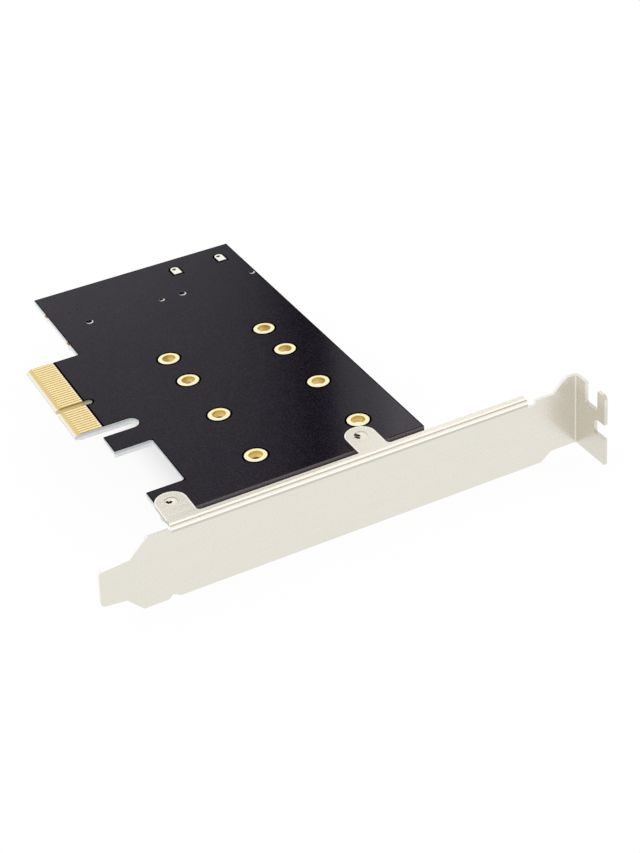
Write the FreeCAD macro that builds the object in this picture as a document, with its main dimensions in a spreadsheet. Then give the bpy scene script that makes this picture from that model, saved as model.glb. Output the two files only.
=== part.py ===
import FreeCAD, Part
import math
import os
import re
import Sketcher

# Adapter card for two M.2 modules: a x4 card-edge board on a full-height bracket.
# Millimetres. The card lies solder side up, as it is photographed, so the parts hang below the board.
# X runs from the tip of the card-edge tongue towards the free edge of the board,
# Y from the outer face of the bracket into the board, and Z up from the component face of the board.
# The origin is on the bracket's outer face, level with the component face and the tongue's tip.

doc = FreeCAD.newDocument("adapter_card")
sheet = doc.addObject("Spreadsheet::Sheet", "Sizes")

SIZES = [
    # The bare board
    ("board_thick", 1.6),
    ("board_height", 68.9),
    ("board_length", 108.3),
    ("board_setback", 5.0),
    ("tongue_start", 45.75),
    ("tongue_width", 34.3),
    ("shoulder_line", 13.65),
    ("key_centre", 12.15),
    ("key_width", 1.9),
    ("key_depth", 8.95),
    ("bevel_length", 1.4),
    ("bevel_rise", 0.45),
    ("relief_width", 4.25),
    ("relief_depth", 15.05),
    ("leg_width", 7.1),
    ("leg_tip", 5.45),
    ("recess_width", 18.85),
    ("recess_floor", 14.65),
    ("cutter_radius", 0.8),
    ("stub_length", 1.9),
    ("stub_height", 0.4),
    ("first_stub", 86.8),
    ("stub_pitch", 16.6),
    # Gold on the board
    ("plating", 0.08),
    ("plating_fit", 0.02),
    ("finger_pitch", 1.0),
    ("finger_width", 0.7),
    ("finger_end", 6.85),
    ("first_finger", 0.65),
    ("module_hole_radius", 1.65),
    ("module_ring_radius", 2.62),
    # Module places: the stop in the socket, and the lengths that the holes are set for
    ("slot_a_line", 31.85),
    ("slot_pitch", 25.8),
    ("module_stop", 95.5),
    ("length_short", 30.0),
    ("length_medium", 42.0),
    ("length_long", 60.0),
    ("length_full", 80.0),
    # Bracket, one folded sheet
    ("sheet_thick", 0.86),
    ("bracket_length", 120.02),
    ("bracket_width", 18.42),
    ("flange_seat", 106.2),
    ("flange_depth", 11.43),
    ("flange_rise", 2.2),
    ("bend_radius", 0.4),
    ("lip_start", 4.9),
    ("lip_end", 93.25),
    ("lip_depth", 2.25),
    ("relief_gap", 1.0),
    ("left_relief_gap", 0.5),
    ("right_relief_gap", 2.1),
    ("shoulder_level", 1.7),
    ("shoulder_end", -0.9),
    ("shoulder_run", 4.2),
    ("tail_top", -2.3),
    ("tail_width", 10.0),
    ("tail_taper", 0.65),
    ("tail_slant", 0.75),
    ("tail_corner", 1.0),
    ("tail_root", -7.1),
    ("tail_run", 3.4),
    ("neck_level", 1.4),
    ("flare_start", 99.95),
    ("flare_run", 3.6),
    ("step_start", 96.6),
    ("step_run", 2.7),
    ("dent_start", 2.05),
    ("dent_slope", 1.15),
    ("dent_length", 2.9),
    ("dent_height", 1.05),
    ("tab_radius", 3.6),
    ("tab_a_line", 8.5),
    ("tab_pitch", 46.1),
    ("tab_hole_row", 8.45),
    ("root_radius", 1.0),
    ("screw_slot_width", 4.8),
    ("screw_slot_line", 6.2),
    ("screw_slot_depth", 5.3),
    ("screw_slot_corner", 0.6),
    ("prong_chamfer", 0.9),
    ("side_notch_depth", 3.95),
    ("side_notch_height", 3.85),
    ("side_notch_drop", 7.65),
    ("side_notch_chamfer", 0.9),
    # Bracket screws
    ("screw_radius", 1.45),
    ("screw_fit", 0.05),
    ("screw_clearance", 0.15),
    ("screw_tip_chamfer", 0.35),
    ("screw_set_in", 0.35),
    ("screw_head_radius", 2.8),
    ("screw_head_height", 2.1),
    ("screw_head_crown", 0.7),
    ("cross_length", 3.0),
    ("cross_width", 0.65),
    ("cross_depth", 1.2),
    # Module sockets
    ("socket_length", 21.9),
    ("socket_height", 4.2),
    ("mouth_setback", 3.6),
    ("back_setback", 3.1),
    ("roof_setback", 0.9),
    ("peg_setback", 1.15),
    ("peg_spacing", 20.0),
    ("large_peg_radius", 0.75),
    ("small_peg_radius", 0.5),
    ("peg_fit", 0.05),
    ("peg_length", 1.2),
    ("card_slot_length", 20.05),
    ("card_slot_level", 2.45),
    ("card_slot_height", 0.95),
    ("key_rib_width", 1.1),
    ("key_room", 2.0),
    ("m_key_line", 6.125),
    ("b_key_line", -5.625),
    ("pin_step", 0.25),
    ("pin_width", 0.2),
    ("pin_thick", 0.15),
    ("pin_fit", 0.03),
    ("pin_foot", 0.8),
    ("pin_set_in", 0.3),
    ("pin_tip_gap", 0.4),
    ("holder_width", 1.0),
    ("holder_thick", 0.25),
    ("holder_height", 2.6),
    ("holder_foot", 1.1),
    ("holder_fit", 0.05),
    # Drive cable header
    ("header_line", 57.65),
    ("header_width", 16.4),
    ("header_height", 6.0),
    ("header_depth", 9.6),
    ("header_wall", 1.1),
    ("header_roof", 0.55),
    ("header_mouth_depth", 6.4),
    ("blade_width", 10.4),
    ("blade_thick", 1.2),
    ("blade_level", 3.55),
    ("blade_hook", 1.2),
    ("header_pin_pitch", 1.27),
    ("header_pin_width", 0.6),
    ("header_pin_thick", 0.2),
    ("header_pin_foot", 1.3),
    ("header_pin_fit", 0.03),
    ("lock_row", 107.6),
    ("lock_spacing", 12.9),
    ("lock_thick", 0.35),
    ("lock_width", 1.5),
    ("lock_fit", 0.05),
    ("lock_fork_gap", 0.4),
    ("lock_barb", 0.3),
    ("lock_tip_drop", 0.4),
    ("lock_hole_radius", 0.85),
    ("lock_height", 3.2),
    ("solder_width", 2.5),
    ("solder_length", 4.1),
    ("solder_hole_radius", 0.42),
    # Small parts on the component face
    ("chip_end", 0.25),
    ("coupling_length", 1.0),
    ("coupling_width", 0.5),
    ("coupling_height", 0.5),
    ("coupling_pitch", 2.0),
    ("coupling_line", 10.85),
    ("coupling_near", 59.9),
    ("chip_length", 1.6),
    ("chip_width", 0.8),
    ("chip_height", 0.45),
    ("chip_pitch", 2.4),
    ("resistor_line", 44.75),
    ("resistor_near", 30.0),
    ("lamp_height", 0.6),
    ("lamp_line", 18.95),
    ("lamp_near", 9.0),
    ("case_draft", 0.2),
    ("case_lift", 0.1),
    ("lead_thick", 0.3),
    ("bulk_length", 3.5),
    ("bulk_width", 2.8),
    ("bulk_height", 1.9),
    ("bulk_pitch", 5.0),
    ("bulk_lead_width", 1.8),
    ("bulk_lead_foot", 0.8),
    ("bulk_line", 17.55),
    ("bulk_near", 85.05),
    ("regulator_length", 6.5),
    ("regulator_width", 3.5),
    ("regulator_height", 1.6),
    ("regulator_line", 25.4),
    ("power_row", 104.0),
    ("lead_pitch", 2.3),
    ("lead_width", 0.75),
    ("lead_reach", 1.7),
    ("tab_lead_width", 3.0),
    ("coil_size", 4.0),
    ("coil_height", 2.0),
    ("coil_chamfer", 0.5),
    ("coil_line", 33.9),
    ("coil_end_thick", 0.15),
    ("coil_end_width", 2.4),
    ("coil_end_height", 1.2),
]

for row, (alias, number) in enumerate(SIZES, start=1):
    sheet.set(f"A{row}", alias)
    sheet.set(f"B{row}", str(number))
    sheet.setAlias(f"B{row}", alias)
doc.recompute()
ALIASES = {alias for alias, number in SIZES}

# The last pin of a socket's front row stands this many steps from the middle
FRONT_ROW_END = 37


# Places that several pieces share, as expressions of the sheet's sizes
PLACES = {
    "near_edge": "board_setback",
    "far_edge": "(board_setback + board_length)",
    "tongue_end": "(tongue_start + tongue_width)",
    "relief_near": "(tongue_start - relief_width)",
    "leg_near": "(tongue_start - relief_width - leg_width)",
    "recess_near": "(tongue_start - relief_width - leg_width - recess_width)",
    "peg_row": "(module_stop - peg_setback)",
    "mouth": "(module_stop - peg_setback - mouth_setback)",
    "back": "(module_stop - peg_setback + back_setback)",
    "slot_ceiling": "(card_slot_level + card_slot_height)",
    "lip_top": "(board_thick + sheet_thick)",
    "bracket_low": "(board_thick + sheet_thick - bracket_width)",
    "outer_bend": "(bend_radius + sheet_thick)",
    "flange_top": "(board_thick + sheet_thick + flange_rise)",
    "flange_low": "(board_thick + sheet_thick - bracket_width + flange_rise)",
    "flange_outer": "(flange_seat + sheet_thick)",
    "bracket_tip": "(flange_seat + sheet_thick - bracket_length)",
    "header_back": "(board_setback + board_length - header_depth)",
}


reader = doc.addObject("App::FeaturePython", "Reader")


def bound(text):
    """The same expression with every shared place written out and every size named in the sheet."""
    text = re.sub(r"[a-z_]+", lambda word: PLACES.get(word.group(), word.group()), text)
    names = {alias: "Sizes." + alias for alias in ALIASES}
    return re.sub(r"[a-z_]+", lambda word: names.get(word.group(), word.group()), text)


def value(text):
    """The number that an expression of the sheet's sizes stands for now."""
    return float(reader.evalExpression(bound(text)))


def origin_part(body, role):
    """A plane or an axis of the body's own origin."""
    return [item for item in body.Origin.OriginFeatures if item.Role == role][0]


def new_body(label, x="0", y="0"):
    """An empty body that stands at x, y on the component face."""
    body = doc.addObject("PartDesign::Body", label)
    body.Label = label
    body.setExpression(".Placement.Base.x", bound(x))
    body.setExpression(".Placement.Base.y", bound(y))
    return body


def new_sketch(body, name, role, offset="0"):
    """A sketch on one of the body's origin planes, shifted along that plane's normal."""
    sketch = body.newObject("Sketcher::SketchObject", name)
    sketch.AttachmentSupport = [(origin_part(body, role), "")]
    sketch.MapMode = "FlatFace"
    sketch.setExpression(".AttachmentOffset.Base.z", bound(offset))
    return sketch


def pin_down(sketch, geometry, point, x=None, y=None):
    """Binds one point's sketch coordinates to expressions."""
    for kind, text in (("DistanceX", x), ("DistanceY", y)):
        if text is not None:
            index = sketch.addConstraint(Sketcher.Constraint(kind, -1, 1, geometry, point, value(text)))
            sketch.setExpression(f"Constraints[{index}]", bound(text))


def outline(sketch, corners):
    """Draws a closed outline through corners of two expressions each.

    A corner with three more entries, centre x, centre y and "cw" or "ccw", starts an arc about that centre.
    The arc's far end is bound along its tangent only: the centre and the near end already set its radius.
    """
    start = sketch.GeometryCount
    count = len(corners)
    places = [FreeCAD.Vector(value(corner[0]), value(corner[1]), 0) for corner in corners]
    ends = []
    free = {}
    for index, corner in enumerate(corners):
        here = places[index]
        following = places[(index + 1) % count]
        if len(corner) == 2:
            sketch.addGeometry(Part.LineSegment(here, following))
            ends.append((1, 2))
            continue
        centre = FreeCAD.Vector(value(corner[2]), value(corner[3]), 0)
        first, last = (here, following) if corner[4] == "ccw" else (following, here)
        angles = [math.atan2(place.y - centre.y, place.x - centre.x) for place in (first, last)]
        if angles[1] <= angles[0]:
            angles[1] += 2 * math.pi
        circle = Part.Circle(centre, FreeCAD.Vector(0, 0, 1), (here - centre).Length)
        sketch.addGeometry(Part.ArcOfCircle(circle, angles[0], angles[1]))
        ends.append((1, 2) if corner[4] == "ccw" else (2, 1))
        pin_down(sketch, start + index, 3, corner[2], corner[3])
        spoke = following - centre
        free[(index + 1) % count] = "x" if abs(spoke.x) > abs(spoke.y) else "y"
    for index in range(count):
        after = (index + 1) % count
        joined = start + index, ends[index][1], start + after, ends[after][0]
        sketch.addConstraint(Sketcher.Constraint("Coincident", *joined))
    for index, corner in enumerate(corners):
        x = None if free.get(index) == "x" else corner[0]
        y = None if free.get(index) == "y" else corner[1]
        pin_down(sketch, start + index, ends[index][0], x, y)


def rectangle(sketch, x0, x1, y0, y1):
    """Draws a rectangle between two x and two y expressions."""
    outline(sketch, [(x0, y0), (x1, y0), (x1, y1), (x0, y1)])


def circle(sketch, x, y, radius):
    """Draws a circle."""
    centre = FreeCAD.Vector(value(x), value(y), 0)
    index = sketch.addGeometry(Part.Circle(centre, FreeCAD.Vector(0, 0, 1), value(radius)))
    pin_down(sketch, index, 3, x, y)
    size = sketch.addConstraint(Sketcher.Constraint("Radius", index, value(radius)))
    sketch.setExpression(f"Constraints[{size}]", bound(radius))


def pad(body, sketch, length, reverse=False, middle=False):
    """Extrudes a sketch."""
    feature = body.newObject("PartDesign::Pad", sketch.Name + "_pad")
    feature.Profile = sketch
    feature.Reversed = reverse
    feature.Midplane = middle
    feature.setExpression("Length", bound(length))
    doc.recompute()
    return feature


def pocket(body, sketch, length=None, reverse=False, middle=False):
    """Cuts a sketch out of the body, right through if no length is given, and checks that it cut."""
    before = body.Shape.Volume
    feature = body.newObject("PartDesign::Pocket", sketch.Name + "_pocket")
    feature.Profile = sketch
    if length is None:
        feature.Type = "ThroughAll"
        feature.Midplane = True
    else:
        feature.Reversed = reverse
        feature.Midplane = middle
        feature.setExpression("Length", bound(length))
    doc.recompute()
    if not feature.Shape.Volume < before:
        raise ValueError(f"{feature.Name} cuts nothing")
    return feature


def turned(body, sketch):
    """Turns a sketch round its own vertical axis."""
    feature = body.newObject("PartDesign::Revolution", sketch.Name + "_turned")
    feature.Profile = sketch
    feature.ReferenceAxis = (sketch, ["V_Axis"])
    doc.recompute()
    return feature


def repeated(body, features, axis, spacing, copies):
    """Repeats features along an axis of the body's origin."""
    feature = body.newObject("PartDesign::LinearPattern", features[0].Name + "_row")
    feature.Originals = features
    feature.Direction = (origin_part(body, axis), [""])
    feature.Mode = "Spacing"
    feature.setExpression("Offset", bound(spacing))
    feature.Occurrences = copies
    body.Tip = feature
    doc.recompute()
    return feature


def corner_edges(shape, axis, places):
    """Names of the straight edges along an axis that pass through the given points of the other two."""
    others = [index for index in range(3) if index != axis]
    names = []
    for number, edge in enumerate(shape.Edges, start=1):
        first, last = edge.Vertexes[0].Point, edge.Vertexes[-1].Point
        if any(abs(first[index] - last[index]) > 1e-6 for index in others) or len(edge.Vertexes) < 2:
            continue
        for place in places:
            if all(abs(first[index] - spot) < 1e-5 for index, spot in zip(others, place)):
                names.append(f"Edge{number}")
    return names


def rounded(body, axis, places, radius):
    """Rounds the edges along an axis that pass through the given points."""
    spots = [[value(text) for text in place] for place in places]
    names = corner_edges(body.Shape, axis, spots)
    if len(names) < len(places):
        raise ValueError(f"{body.Label}: an edge to round is missing")
    base = body.Tip
    feature = body.newObject("PartDesign::Fillet", body.Name + "_round")
    feature.Base = (base, names)
    feature.setExpression("Radius", bound(radius))
    body.Tip = feature
    doc.recompute()
    return feature


def circuit_board():
    """The bare board: tongue with its key, relief slot, leg, recess and every hole."""
    body = new_body("circuit_board")
    shape = new_sketch(body, "board_outline", "XY_Plane")
    relief_centre = "relief_depth - relief_width / 2", "tongue_start - relief_width / 2"
    key_line = "tongue_start + key_centre"
    key_hub = "key_depth - key_width / 2", key_line
    outline(shape, [
        ("board_height", "near_edge"),
        ("board_height", "far_edge"),
        ("shoulder_line", "far_edge"),
        ("shoulder_line", "tongue_end"),
        ("0", "tongue_end"),
        ("0", key_line + " + key_width / 2"),
        (key_hub[0], key_line + " + key_width / 2", *key_hub, "cw"),
        (key_hub[0], key_line + " - key_width / 2"),
        ("0", key_line + " - key_width / 2"),
        ("0", "tongue_start"),
        (relief_centre[0], "tongue_start", *relief_centre, "cw"),
        (relief_centre[0], "relief_near"),
        ("leg_tip", "relief_near"),
        ("leg_tip", "leg_near"),
        ("recess_floor", "leg_near"),
        ("recess_floor", "recess_near"),
        ("leg_tip", "recess_near"),
        ("leg_tip", "near_edge"),
    ])
    pad(body, shape, "board_thick")

    # What is left of the two tabs that held the board in its panel
    stubs = new_sketch(body, "panel_stub", "XY_Plane")
    outline(stubs, [
        ("shoulder_line", "first_stub - stub_length / 2"),
        ("shoulder_line", "first_stub + stub_length / 2"),
        ("shoulder_line - stub_height", "first_stub + stub_length / 4"),
        ("shoulder_line - stub_height", "first_stub - stub_length / 4"),
    ])
    repeated(body, [pad(body, stubs, "board_thick")], "Y_Axis", "stub_pitch", 2)
    rounded(body, 2, [("recess_floor", "leg_near"), ("recess_floor", "recess_near")], "cutter_radius")

    # Both long edges of the tongue's tip are bevelled
    bevel = new_sketch(body, "tip_bevel", "XZ_Plane", "-(tongue_end + relief_width / 2)")
    outline(bevel, [("0", "board_thick"), ("0", "board_thick - bevel_rise"), ("bevel_length", "board_thick")])
    outline(bevel, [("0", "0"), ("bevel_length", "0"), ("0", "bevel_rise")])
    pocket(body, bevel, "tongue_width + relief_width", reverse=True)

    # One set of module holes and socket peg holes, repeated for the second module
    module = new_sketch(body, "module_holes", "XY_Plane")
    for length in ("length_short", "length_medium", "length_long", "length_full"):
        circle(module, "slot_a_line", f"module_stop - {length}", "module_hole_radius + plating + plating_fit")
    circle(module, "slot_a_line - peg_spacing / 2", "peg_row", "large_peg_radius + peg_fit")
    circle(module, "slot_a_line + peg_spacing / 2", "peg_row", "small_peg_radius + peg_fit")
    repeated(body, [pocket(body, module)], "X_Axis", "slot_pitch", 2)

    others = new_sketch(body, "screw_and_lock_holes", "XY_Plane")
    for line in ("tab_a_line", "tab_a_line + tab_pitch"):
        circle(others, line, "tab_hole_row", "screw_radius + screw_clearance")
    for sign in ("-", "+"):
        circle(others, f"header_line {sign} lock_spacing / 2", "lock_row", "lock_hole_radius")
    pocket(body, others)
    return body


def module_hole_liner(label, line, length):
    """A plated hole: the copper barrel with a gold ring on each face, which thins out towards its rim."""
    body = new_body(label, line, f"module_stop - {length}")
    section = new_sketch(body, label + "_section", "XZ_Plane")
    barrel = "module_hole_radius + plating"
    outline(section, [
        ("module_hole_radius", "-plating"),
        ("module_ring_radius", "0"),
        (barrel, "0"),
        (barrel, "board_thick"),
        ("module_ring_radius", "board_thick"),
        ("module_hole_radius", "board_thick + plating"),
    ])
    turned(body, section)
    return body


def edge_contacts(label, level, reverse):
    """The gold fingers of one face: eleven before the key and twenty-one after it."""
    body = new_body(label, "0", "tongue_start")
    first_after_key = "2 * key_centre - first_finger - 10 * finger_pitch"
    for part, first, copies in (("short", "first_finger", 11), ("long", first_after_key, 21)):
        finger = new_sketch(body, f"{label}_{part}", "XY_Plane", level)
        sides = first + " - finger_width / 2", first + " + finger_width / 2"
        rectangle(finger, "bevel_length", "finger_end", *sides)
        repeated(body, [pad(body, finger, "plating", reverse=reverse)], "Y_Axis", "finger_pitch", copies)
    return body


def mounting_bracket():
    """The folded bracket: face, fold lip with its two tabs, and the flange with the case screw's slot."""
    body = new_body("mounting_bracket")

    # Face plate, up to where the sheet starts to bend into the lip
    face = new_sketch(body, "face_plate", "XZ_Plane")
    tail_tip = [("bracket_tip", "tail_top - tail_width + tail_taper"),
                ("bracket_tip + tail_slant", "tail_top - tail_taper")]
    bend_start = "lip_top - outer_bend"
    outline(face, [
        tail_tip[0],
        ("tail_root", "tail_top - tail_width"),
        ("tail_root + tail_run", "bracket_low"),
        ("dent_start", "bracket_low"),
        ("dent_start + dent_slope", "bracket_low + dent_height"),
        ("dent_start + dent_length", "bracket_low"),
        ("step_start", "bracket_low"),
        ("step_start + step_run", "flange_low"),
        ("flange_seat - bend_radius", "flange_low"),
        ("flange_seat - bend_radius", "flange_top"),
        ("flare_start + flare_run", "flange_top"),
        ("flare_start", "neck_level"),
        ("lip_end + right_relief_gap", "neck_level"),
        ("lip_end + right_relief_gap", bend_start + " - relief_gap"),
        ("lip_end", bend_start + " - relief_gap"),
        ("lip_end", bend_start),
        ("lip_start", bend_start),
        ("lip_start", bend_start + " - left_relief_gap / 2"),
        ("lip_start - left_relief_gap", bend_start + " - left_relief_gap / 2"),
        ("lip_start - left_relief_gap", "shoulder_level"),
        ("shoulder_end", "shoulder_level"),
        ("shoulder_end - shoulder_run", "tail_top"),
        tail_tip[1],
    ])
    pad(body, face, "sheet_thick", reverse=True)
    rounded(body, 1, tail_tip, "tail_corner")
    crests = [("flare_start + flare_run", "flange_top"), ("shoulder_end", "shoulder_level")]
    rounded(body, 1, crests, "root_radius")

    # The fold into the lip
    fold = new_sketch(body, "lip_fold", "YZ_Plane", "lip_start")
    centre = "outer_bend", "lip_top - outer_bend"
    outline(fold, [
        ("0", centre[1], *centre, "cw"),
        (centre[0], "lip_top"),
        (centre[0], "board_thick", *centre, "ccw"),
        ("sheet_thick", centre[1]),
    ])
    pad(body, fold, "lip_end - lip_start")

    # The lip and its two tabs lie on the solder face
    lip = new_sketch(body, "lip_and_tabs", "XY_Plane", "board_thick")
    corners = [("lip_end", "outer_bend"), ("lip_end", "lip_depth")]
    for line in ("(tab_a_line + tab_pitch)", "tab_a_line"):
        corners += [
            (line + " + tab_radius", "lip_depth"),
            (line + " + tab_radius", "tab_hole_row", line, "tab_hole_row", "ccw"),
            (line + " - tab_radius", "tab_hole_row"),
        ]
        if line != "tab_a_line":
            corners.append((line + " - tab_radius", "lip_depth"))
    corners.append(("tab_a_line - tab_radius", "outer_bend"))
    outline(lip, corners)
    pad(body, lip, "sheet_thick")
    roots = [(line + " + tab_radius", "lip_depth") for line in ("tab_a_line", "tab_a_line + tab_pitch")]
    rounded(body, 2, roots, "root_radius")

    tapped = new_sketch(body, "tapped_holes", "XY_Plane", "board_thick")
    for line in ("tab_a_line", "tab_a_line + tab_pitch"):
        circle(tapped, line, "tab_hole_row", "screw_radius + screw_fit")
    pocket(body, tapped, "sheet_thick", reverse=True)

    # The fold into the flange, which turns away from the board
    turn = new_sketch(body, "flange_fold", "XY_Plane", "flange_low")
    hub = "flange_seat - bend_radius", "-bend_radius"
    outline(turn, [
        (hub[0], "0", *hub, "cw"),
        ("flange_seat", hub[1]),
        ("flange_outer", hub[1], *hub, "ccw"),
        (hub[0], "sheet_thick"),
    ])
    pad(body, turn, "bracket_width")

    flange = new_sketch(body, "flange_plate", "YZ_Plane", "flange_seat")
    slot_near = "-screw_slot_line + screw_slot_width / 2"
    slot_far = "-screw_slot_line - screw_slot_width / 2"
    slot_floor = "flange_top - screw_slot_depth"
    notch_high = "flange_top - side_notch_drop"
    notch_low = "flange_top - side_notch_drop - side_notch_height"
    notch_floor = "-flange_depth + side_notch_depth"
    outline(flange, [
        ("-bend_radius", "flange_low"),
        ("-bend_radius", "flange_top"),
        (slot_near, "flange_top"),
        (slot_near, slot_floor),
        (slot_far, slot_floor),
        (slot_far, "flange_top"),
        ("-flange_depth + prong_chamfer", "flange_top"),
        ("-flange_depth", "flange_top - prong_chamfer"),
        ("-flange_depth", notch_high),
        (notch_floor + " - side_notch_chamfer", notch_high),
        (notch_floor, notch_high + " - side_notch_chamfer"),
        (notch_floor, notch_low),
        ("-flange_depth", notch_low),
        ("-flange_depth", "flange_low"),
    ])
    pad(body, flange, "sheet_thick")
    rounded(body, 0, [(slot_near, slot_floor), (slot_far, slot_floor)], "screw_slot_corner")
    return body


def bracket_screws():
    """The two pan-head screws that hold the board to the tabs, put in from the component face."""
    body = new_body("bracket_screws", "tab_a_line", "tab_hole_row")
    section = new_sketch(body, "screw_section", "XZ_Plane")
    tip = "lip_top - screw_set_in"
    outline(section, [
        ("0", "-screw_head_height"),
        ("screw_head_radius - screw_head_crown", "-screw_head_height"),
        ("screw_head_radius", "-screw_head_height + screw_head_crown"),
        ("screw_head_radius", "0"),
        ("screw_radius", "0"),
        ("screw_radius", tip + " - screw_tip_chamfer"),
        ("screw_radius - screw_tip_chamfer", tip),
        ("0", tip),
    ])
    screw = turned(body, section)
    cross = new_sketch(body, "cross_recess", "XY_Plane", "-screw_head_height")
    arm, half = "cross_length / 2", "cross_width / 2"
    outline(cross, [
        (arm, "-" + half), (arm, half), (half, half), (half, arm), ("-" + half, arm), ("-" + half, half),
        ("-" + arm, half), ("-" + arm, "-" + half), ("-" + half, "-" + half), ("-" + half, "-" + arm),
        (half, "-" + arm), (half, "-" + half),
    ])
    recess = pocket(body, cross, "cross_depth", reverse=True)
    repeated(body, [screw, recess], "X_Axis", "tab_pitch", 2)
    return body


def pin_runs(key):
    """First place and number of pins for each run of each row, on both sides of the key's missing places.

    A place counts steps from the socket's middle. The two rows take turns, and each skips every other step.
    """
    line = value(key) / value("pin_step")
    room = value("key_room") / value("pin_step") / 2
    runs = []
    for row, end in (("front", FRONT_ROW_END), ("rear", FRONT_ROW_END - 1)):
        places = range(-end, end + 1, 2)
        before = [place for place in places if place < line - room]
        after = [place for place in places if place > line + room]
        runs += [(row, before[0], len(before)), (row, after[0], len(after))]
    return runs


def front_pin(foot, gap, reach):
    """Corners of a pin that is soldered in front of the mouth and lies on the slot's floor."""
    rise = "mouth + pin_set_in"
    return [
        (foot, "0"),
        (f"{rise} + {gap}", "0"),
        (f"{rise} + {gap}", "-card_slot_level"),
        (reach, "-card_slot_level"),
        (reach, "-card_slot_level - pin_thick"),
        (f"{rise} - pin_thick", "-card_slot_level - pin_thick"),
        (f"{rise} - pin_thick", "-pin_thick"),
        (foot, "-pin_thick"),
    ]


def rear_pin(foot, gap, reach):
    """Corners of a pin that is soldered behind the socket and lies under the slot's ceiling."""
    rise = "back - pin_set_in"
    return [
        (foot, "0"),
        (f"{rise} - {gap}", "0"),
        (f"{rise} - {gap}", f"-slot_ceiling + pin_thick + {gap}"),
        (reach, f"-slot_ceiling + pin_thick + {gap}"),
        (reach, "-slot_ceiling"),
        (f"{rise} + pin_thick", "-slot_ceiling"),
        (f"{rise} + pin_thick", "-pin_thick"),
        (foot, "-pin_thick"),
    ]


def front_cell():
    """Corners of the groove in the mouth's face that a front pin rises in."""
    inner = "mouth + pin_set_in + pin_fit"
    return [("mouth", "0"), (inner, "0"), (inner, "-card_slot_level"), ("mouth", "-card_slot_level")]


def rear_cell():
    """Corners of the groove up the back that a rear pin rises in, and of its way through to the slot."""
    inner = "back - pin_set_in - pin_fit"
    sill = "-slot_ceiling + pin_thick + pin_fit"
    return [("back", "0"), (inner, "0"), (inner, sill), ("module_stop", sill),
            ("module_stop", "-slot_ceiling"), ("back", "-slot_ceiling")]


def pin_group(label, line, key, sections, width):
    """One strip for every pin of a socket: a body for each unbroken run, and all of them as one group."""
    runs = []
    for number, (row, first, count) in enumerate(pin_runs(key), 1):
        run = new_body(f"{label}_run_{number}", line)
        side = new_sketch(run, run.Name + "_side", "YZ_Plane", f"({first}) * pin_step")
        outline(side, sections[row])
        repeated(run, [pad(run, side, width, middle=True)], "X_Axis", "2 * pin_step", count)
        runs.append(run)
    group = doc.addObject("Part::Compound", label)
    group.Label = label
    group.Links = runs
    doc.recompute()
    return group


def socket_contacts(label, line, key):
    """All pins of one socket, each a bent strip in its own cell."""
    front = front_pin("mouth - pin_foot", "0", "module_stop - pin_tip_gap")
    rear = rear_pin("back + pin_foot", "0", "mouth + roof_setback + pin_tip_gap")
    return pin_group(label, line, key, {"front": front, "rear": rear}, "pin_width")


def socket_housing(label, line, key):
    """The moulded socket: card slot with its key rib, a cell for every pin, and two locating pegs."""
    body = new_body(label + "_moulding", line)
    block = new_sketch(body, label + "_side", "YZ_Plane")
    outline(block, [
        ("mouth", "0"),
        ("back", "0"),
        ("back", "-socket_height"),
        ("mouth + roof_setback", "-socket_height"),
        ("mouth + roof_setback", "-slot_ceiling"),
        ("mouth", "-card_slot_level"),
    ])
    pad(body, block, "socket_length", middle=True)

    slot = new_sketch(body, label + "_slot", "YZ_Plane")
    rectangle(slot, "mouth - roof_setback", "module_stop", "-slot_ceiling", "-card_slot_level")
    pocket(body, slot, "card_slot_length", middle=True)

    # The rib that only lets a module with the matching notch in
    rib = new_sketch(body, label + "_rib", "XY_Plane", "-slot_ceiling")
    rectangle(rib, key + " - key_rib_width / 2", key + " + key_rib_width / 2",
              "mouth + roof_setback + pin_set_in", "module_stop")
    pad(body, rib, "card_slot_height")

    # Grooves for the two holders that are soldered down behind the ends
    groove = new_sketch(body, label + "_grooves", "XY_Plane")
    middle = "(socket_length / 2 - holder_fit - holder_width / 2)"
    half = "(holder_width / 2 + holder_fit)"
    for sign in ("-", ""):
        rectangle(groove, f"{sign}{middle} - {half}", f"{sign}{middle} + {half}",
                  "back - holder_thick - holder_fit", "back")
    pocket(body, groove, "holder_height")

    pegs = new_sketch(body, label + "_pegs", "XY_Plane")
    circle(pegs, "-peg_spacing / 2", "peg_row", "large_peg_radius")
    circle(pegs, "peg_spacing / 2", "peg_row", "small_peg_radius")
    pad(body, pegs, "peg_length")

    cells = pin_group(label + "_cells", line, key, {"front": front_cell(), "rear": rear_cell()},
                      "pin_width + 2 * pin_fit")
    housing = doc.addObject("Part::Cut", label)
    housing.Label = label
    housing.Base = body
    housing.Tool = cells
    doc.recompute()
    return housing


def socket_holders(label, line):
    """The two bent tin-plated holders that keep a socket down on the board."""
    body = new_body(label, line)
    side = new_sketch(body, label + "_side", "YZ_Plane", "-socket_length / 2 + holder_fit + holder_width / 2")
    outline(side, [
        ("back - holder_thick", "0"),
        ("back + holder_foot", "0"),
        ("back + holder_foot", "-holder_thick"),
        ("back", "-holder_thick"),
        ("back", "-holder_height + holder_fit"),
        ("back - holder_thick", "-holder_height + holder_fit"),
    ])
    strip = pad(body, side, "holder_width", middle=True)
    repeated(body, [strip], "X_Axis", "socket_length - 2 * holder_fit - holder_width", 2)
    return body


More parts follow.
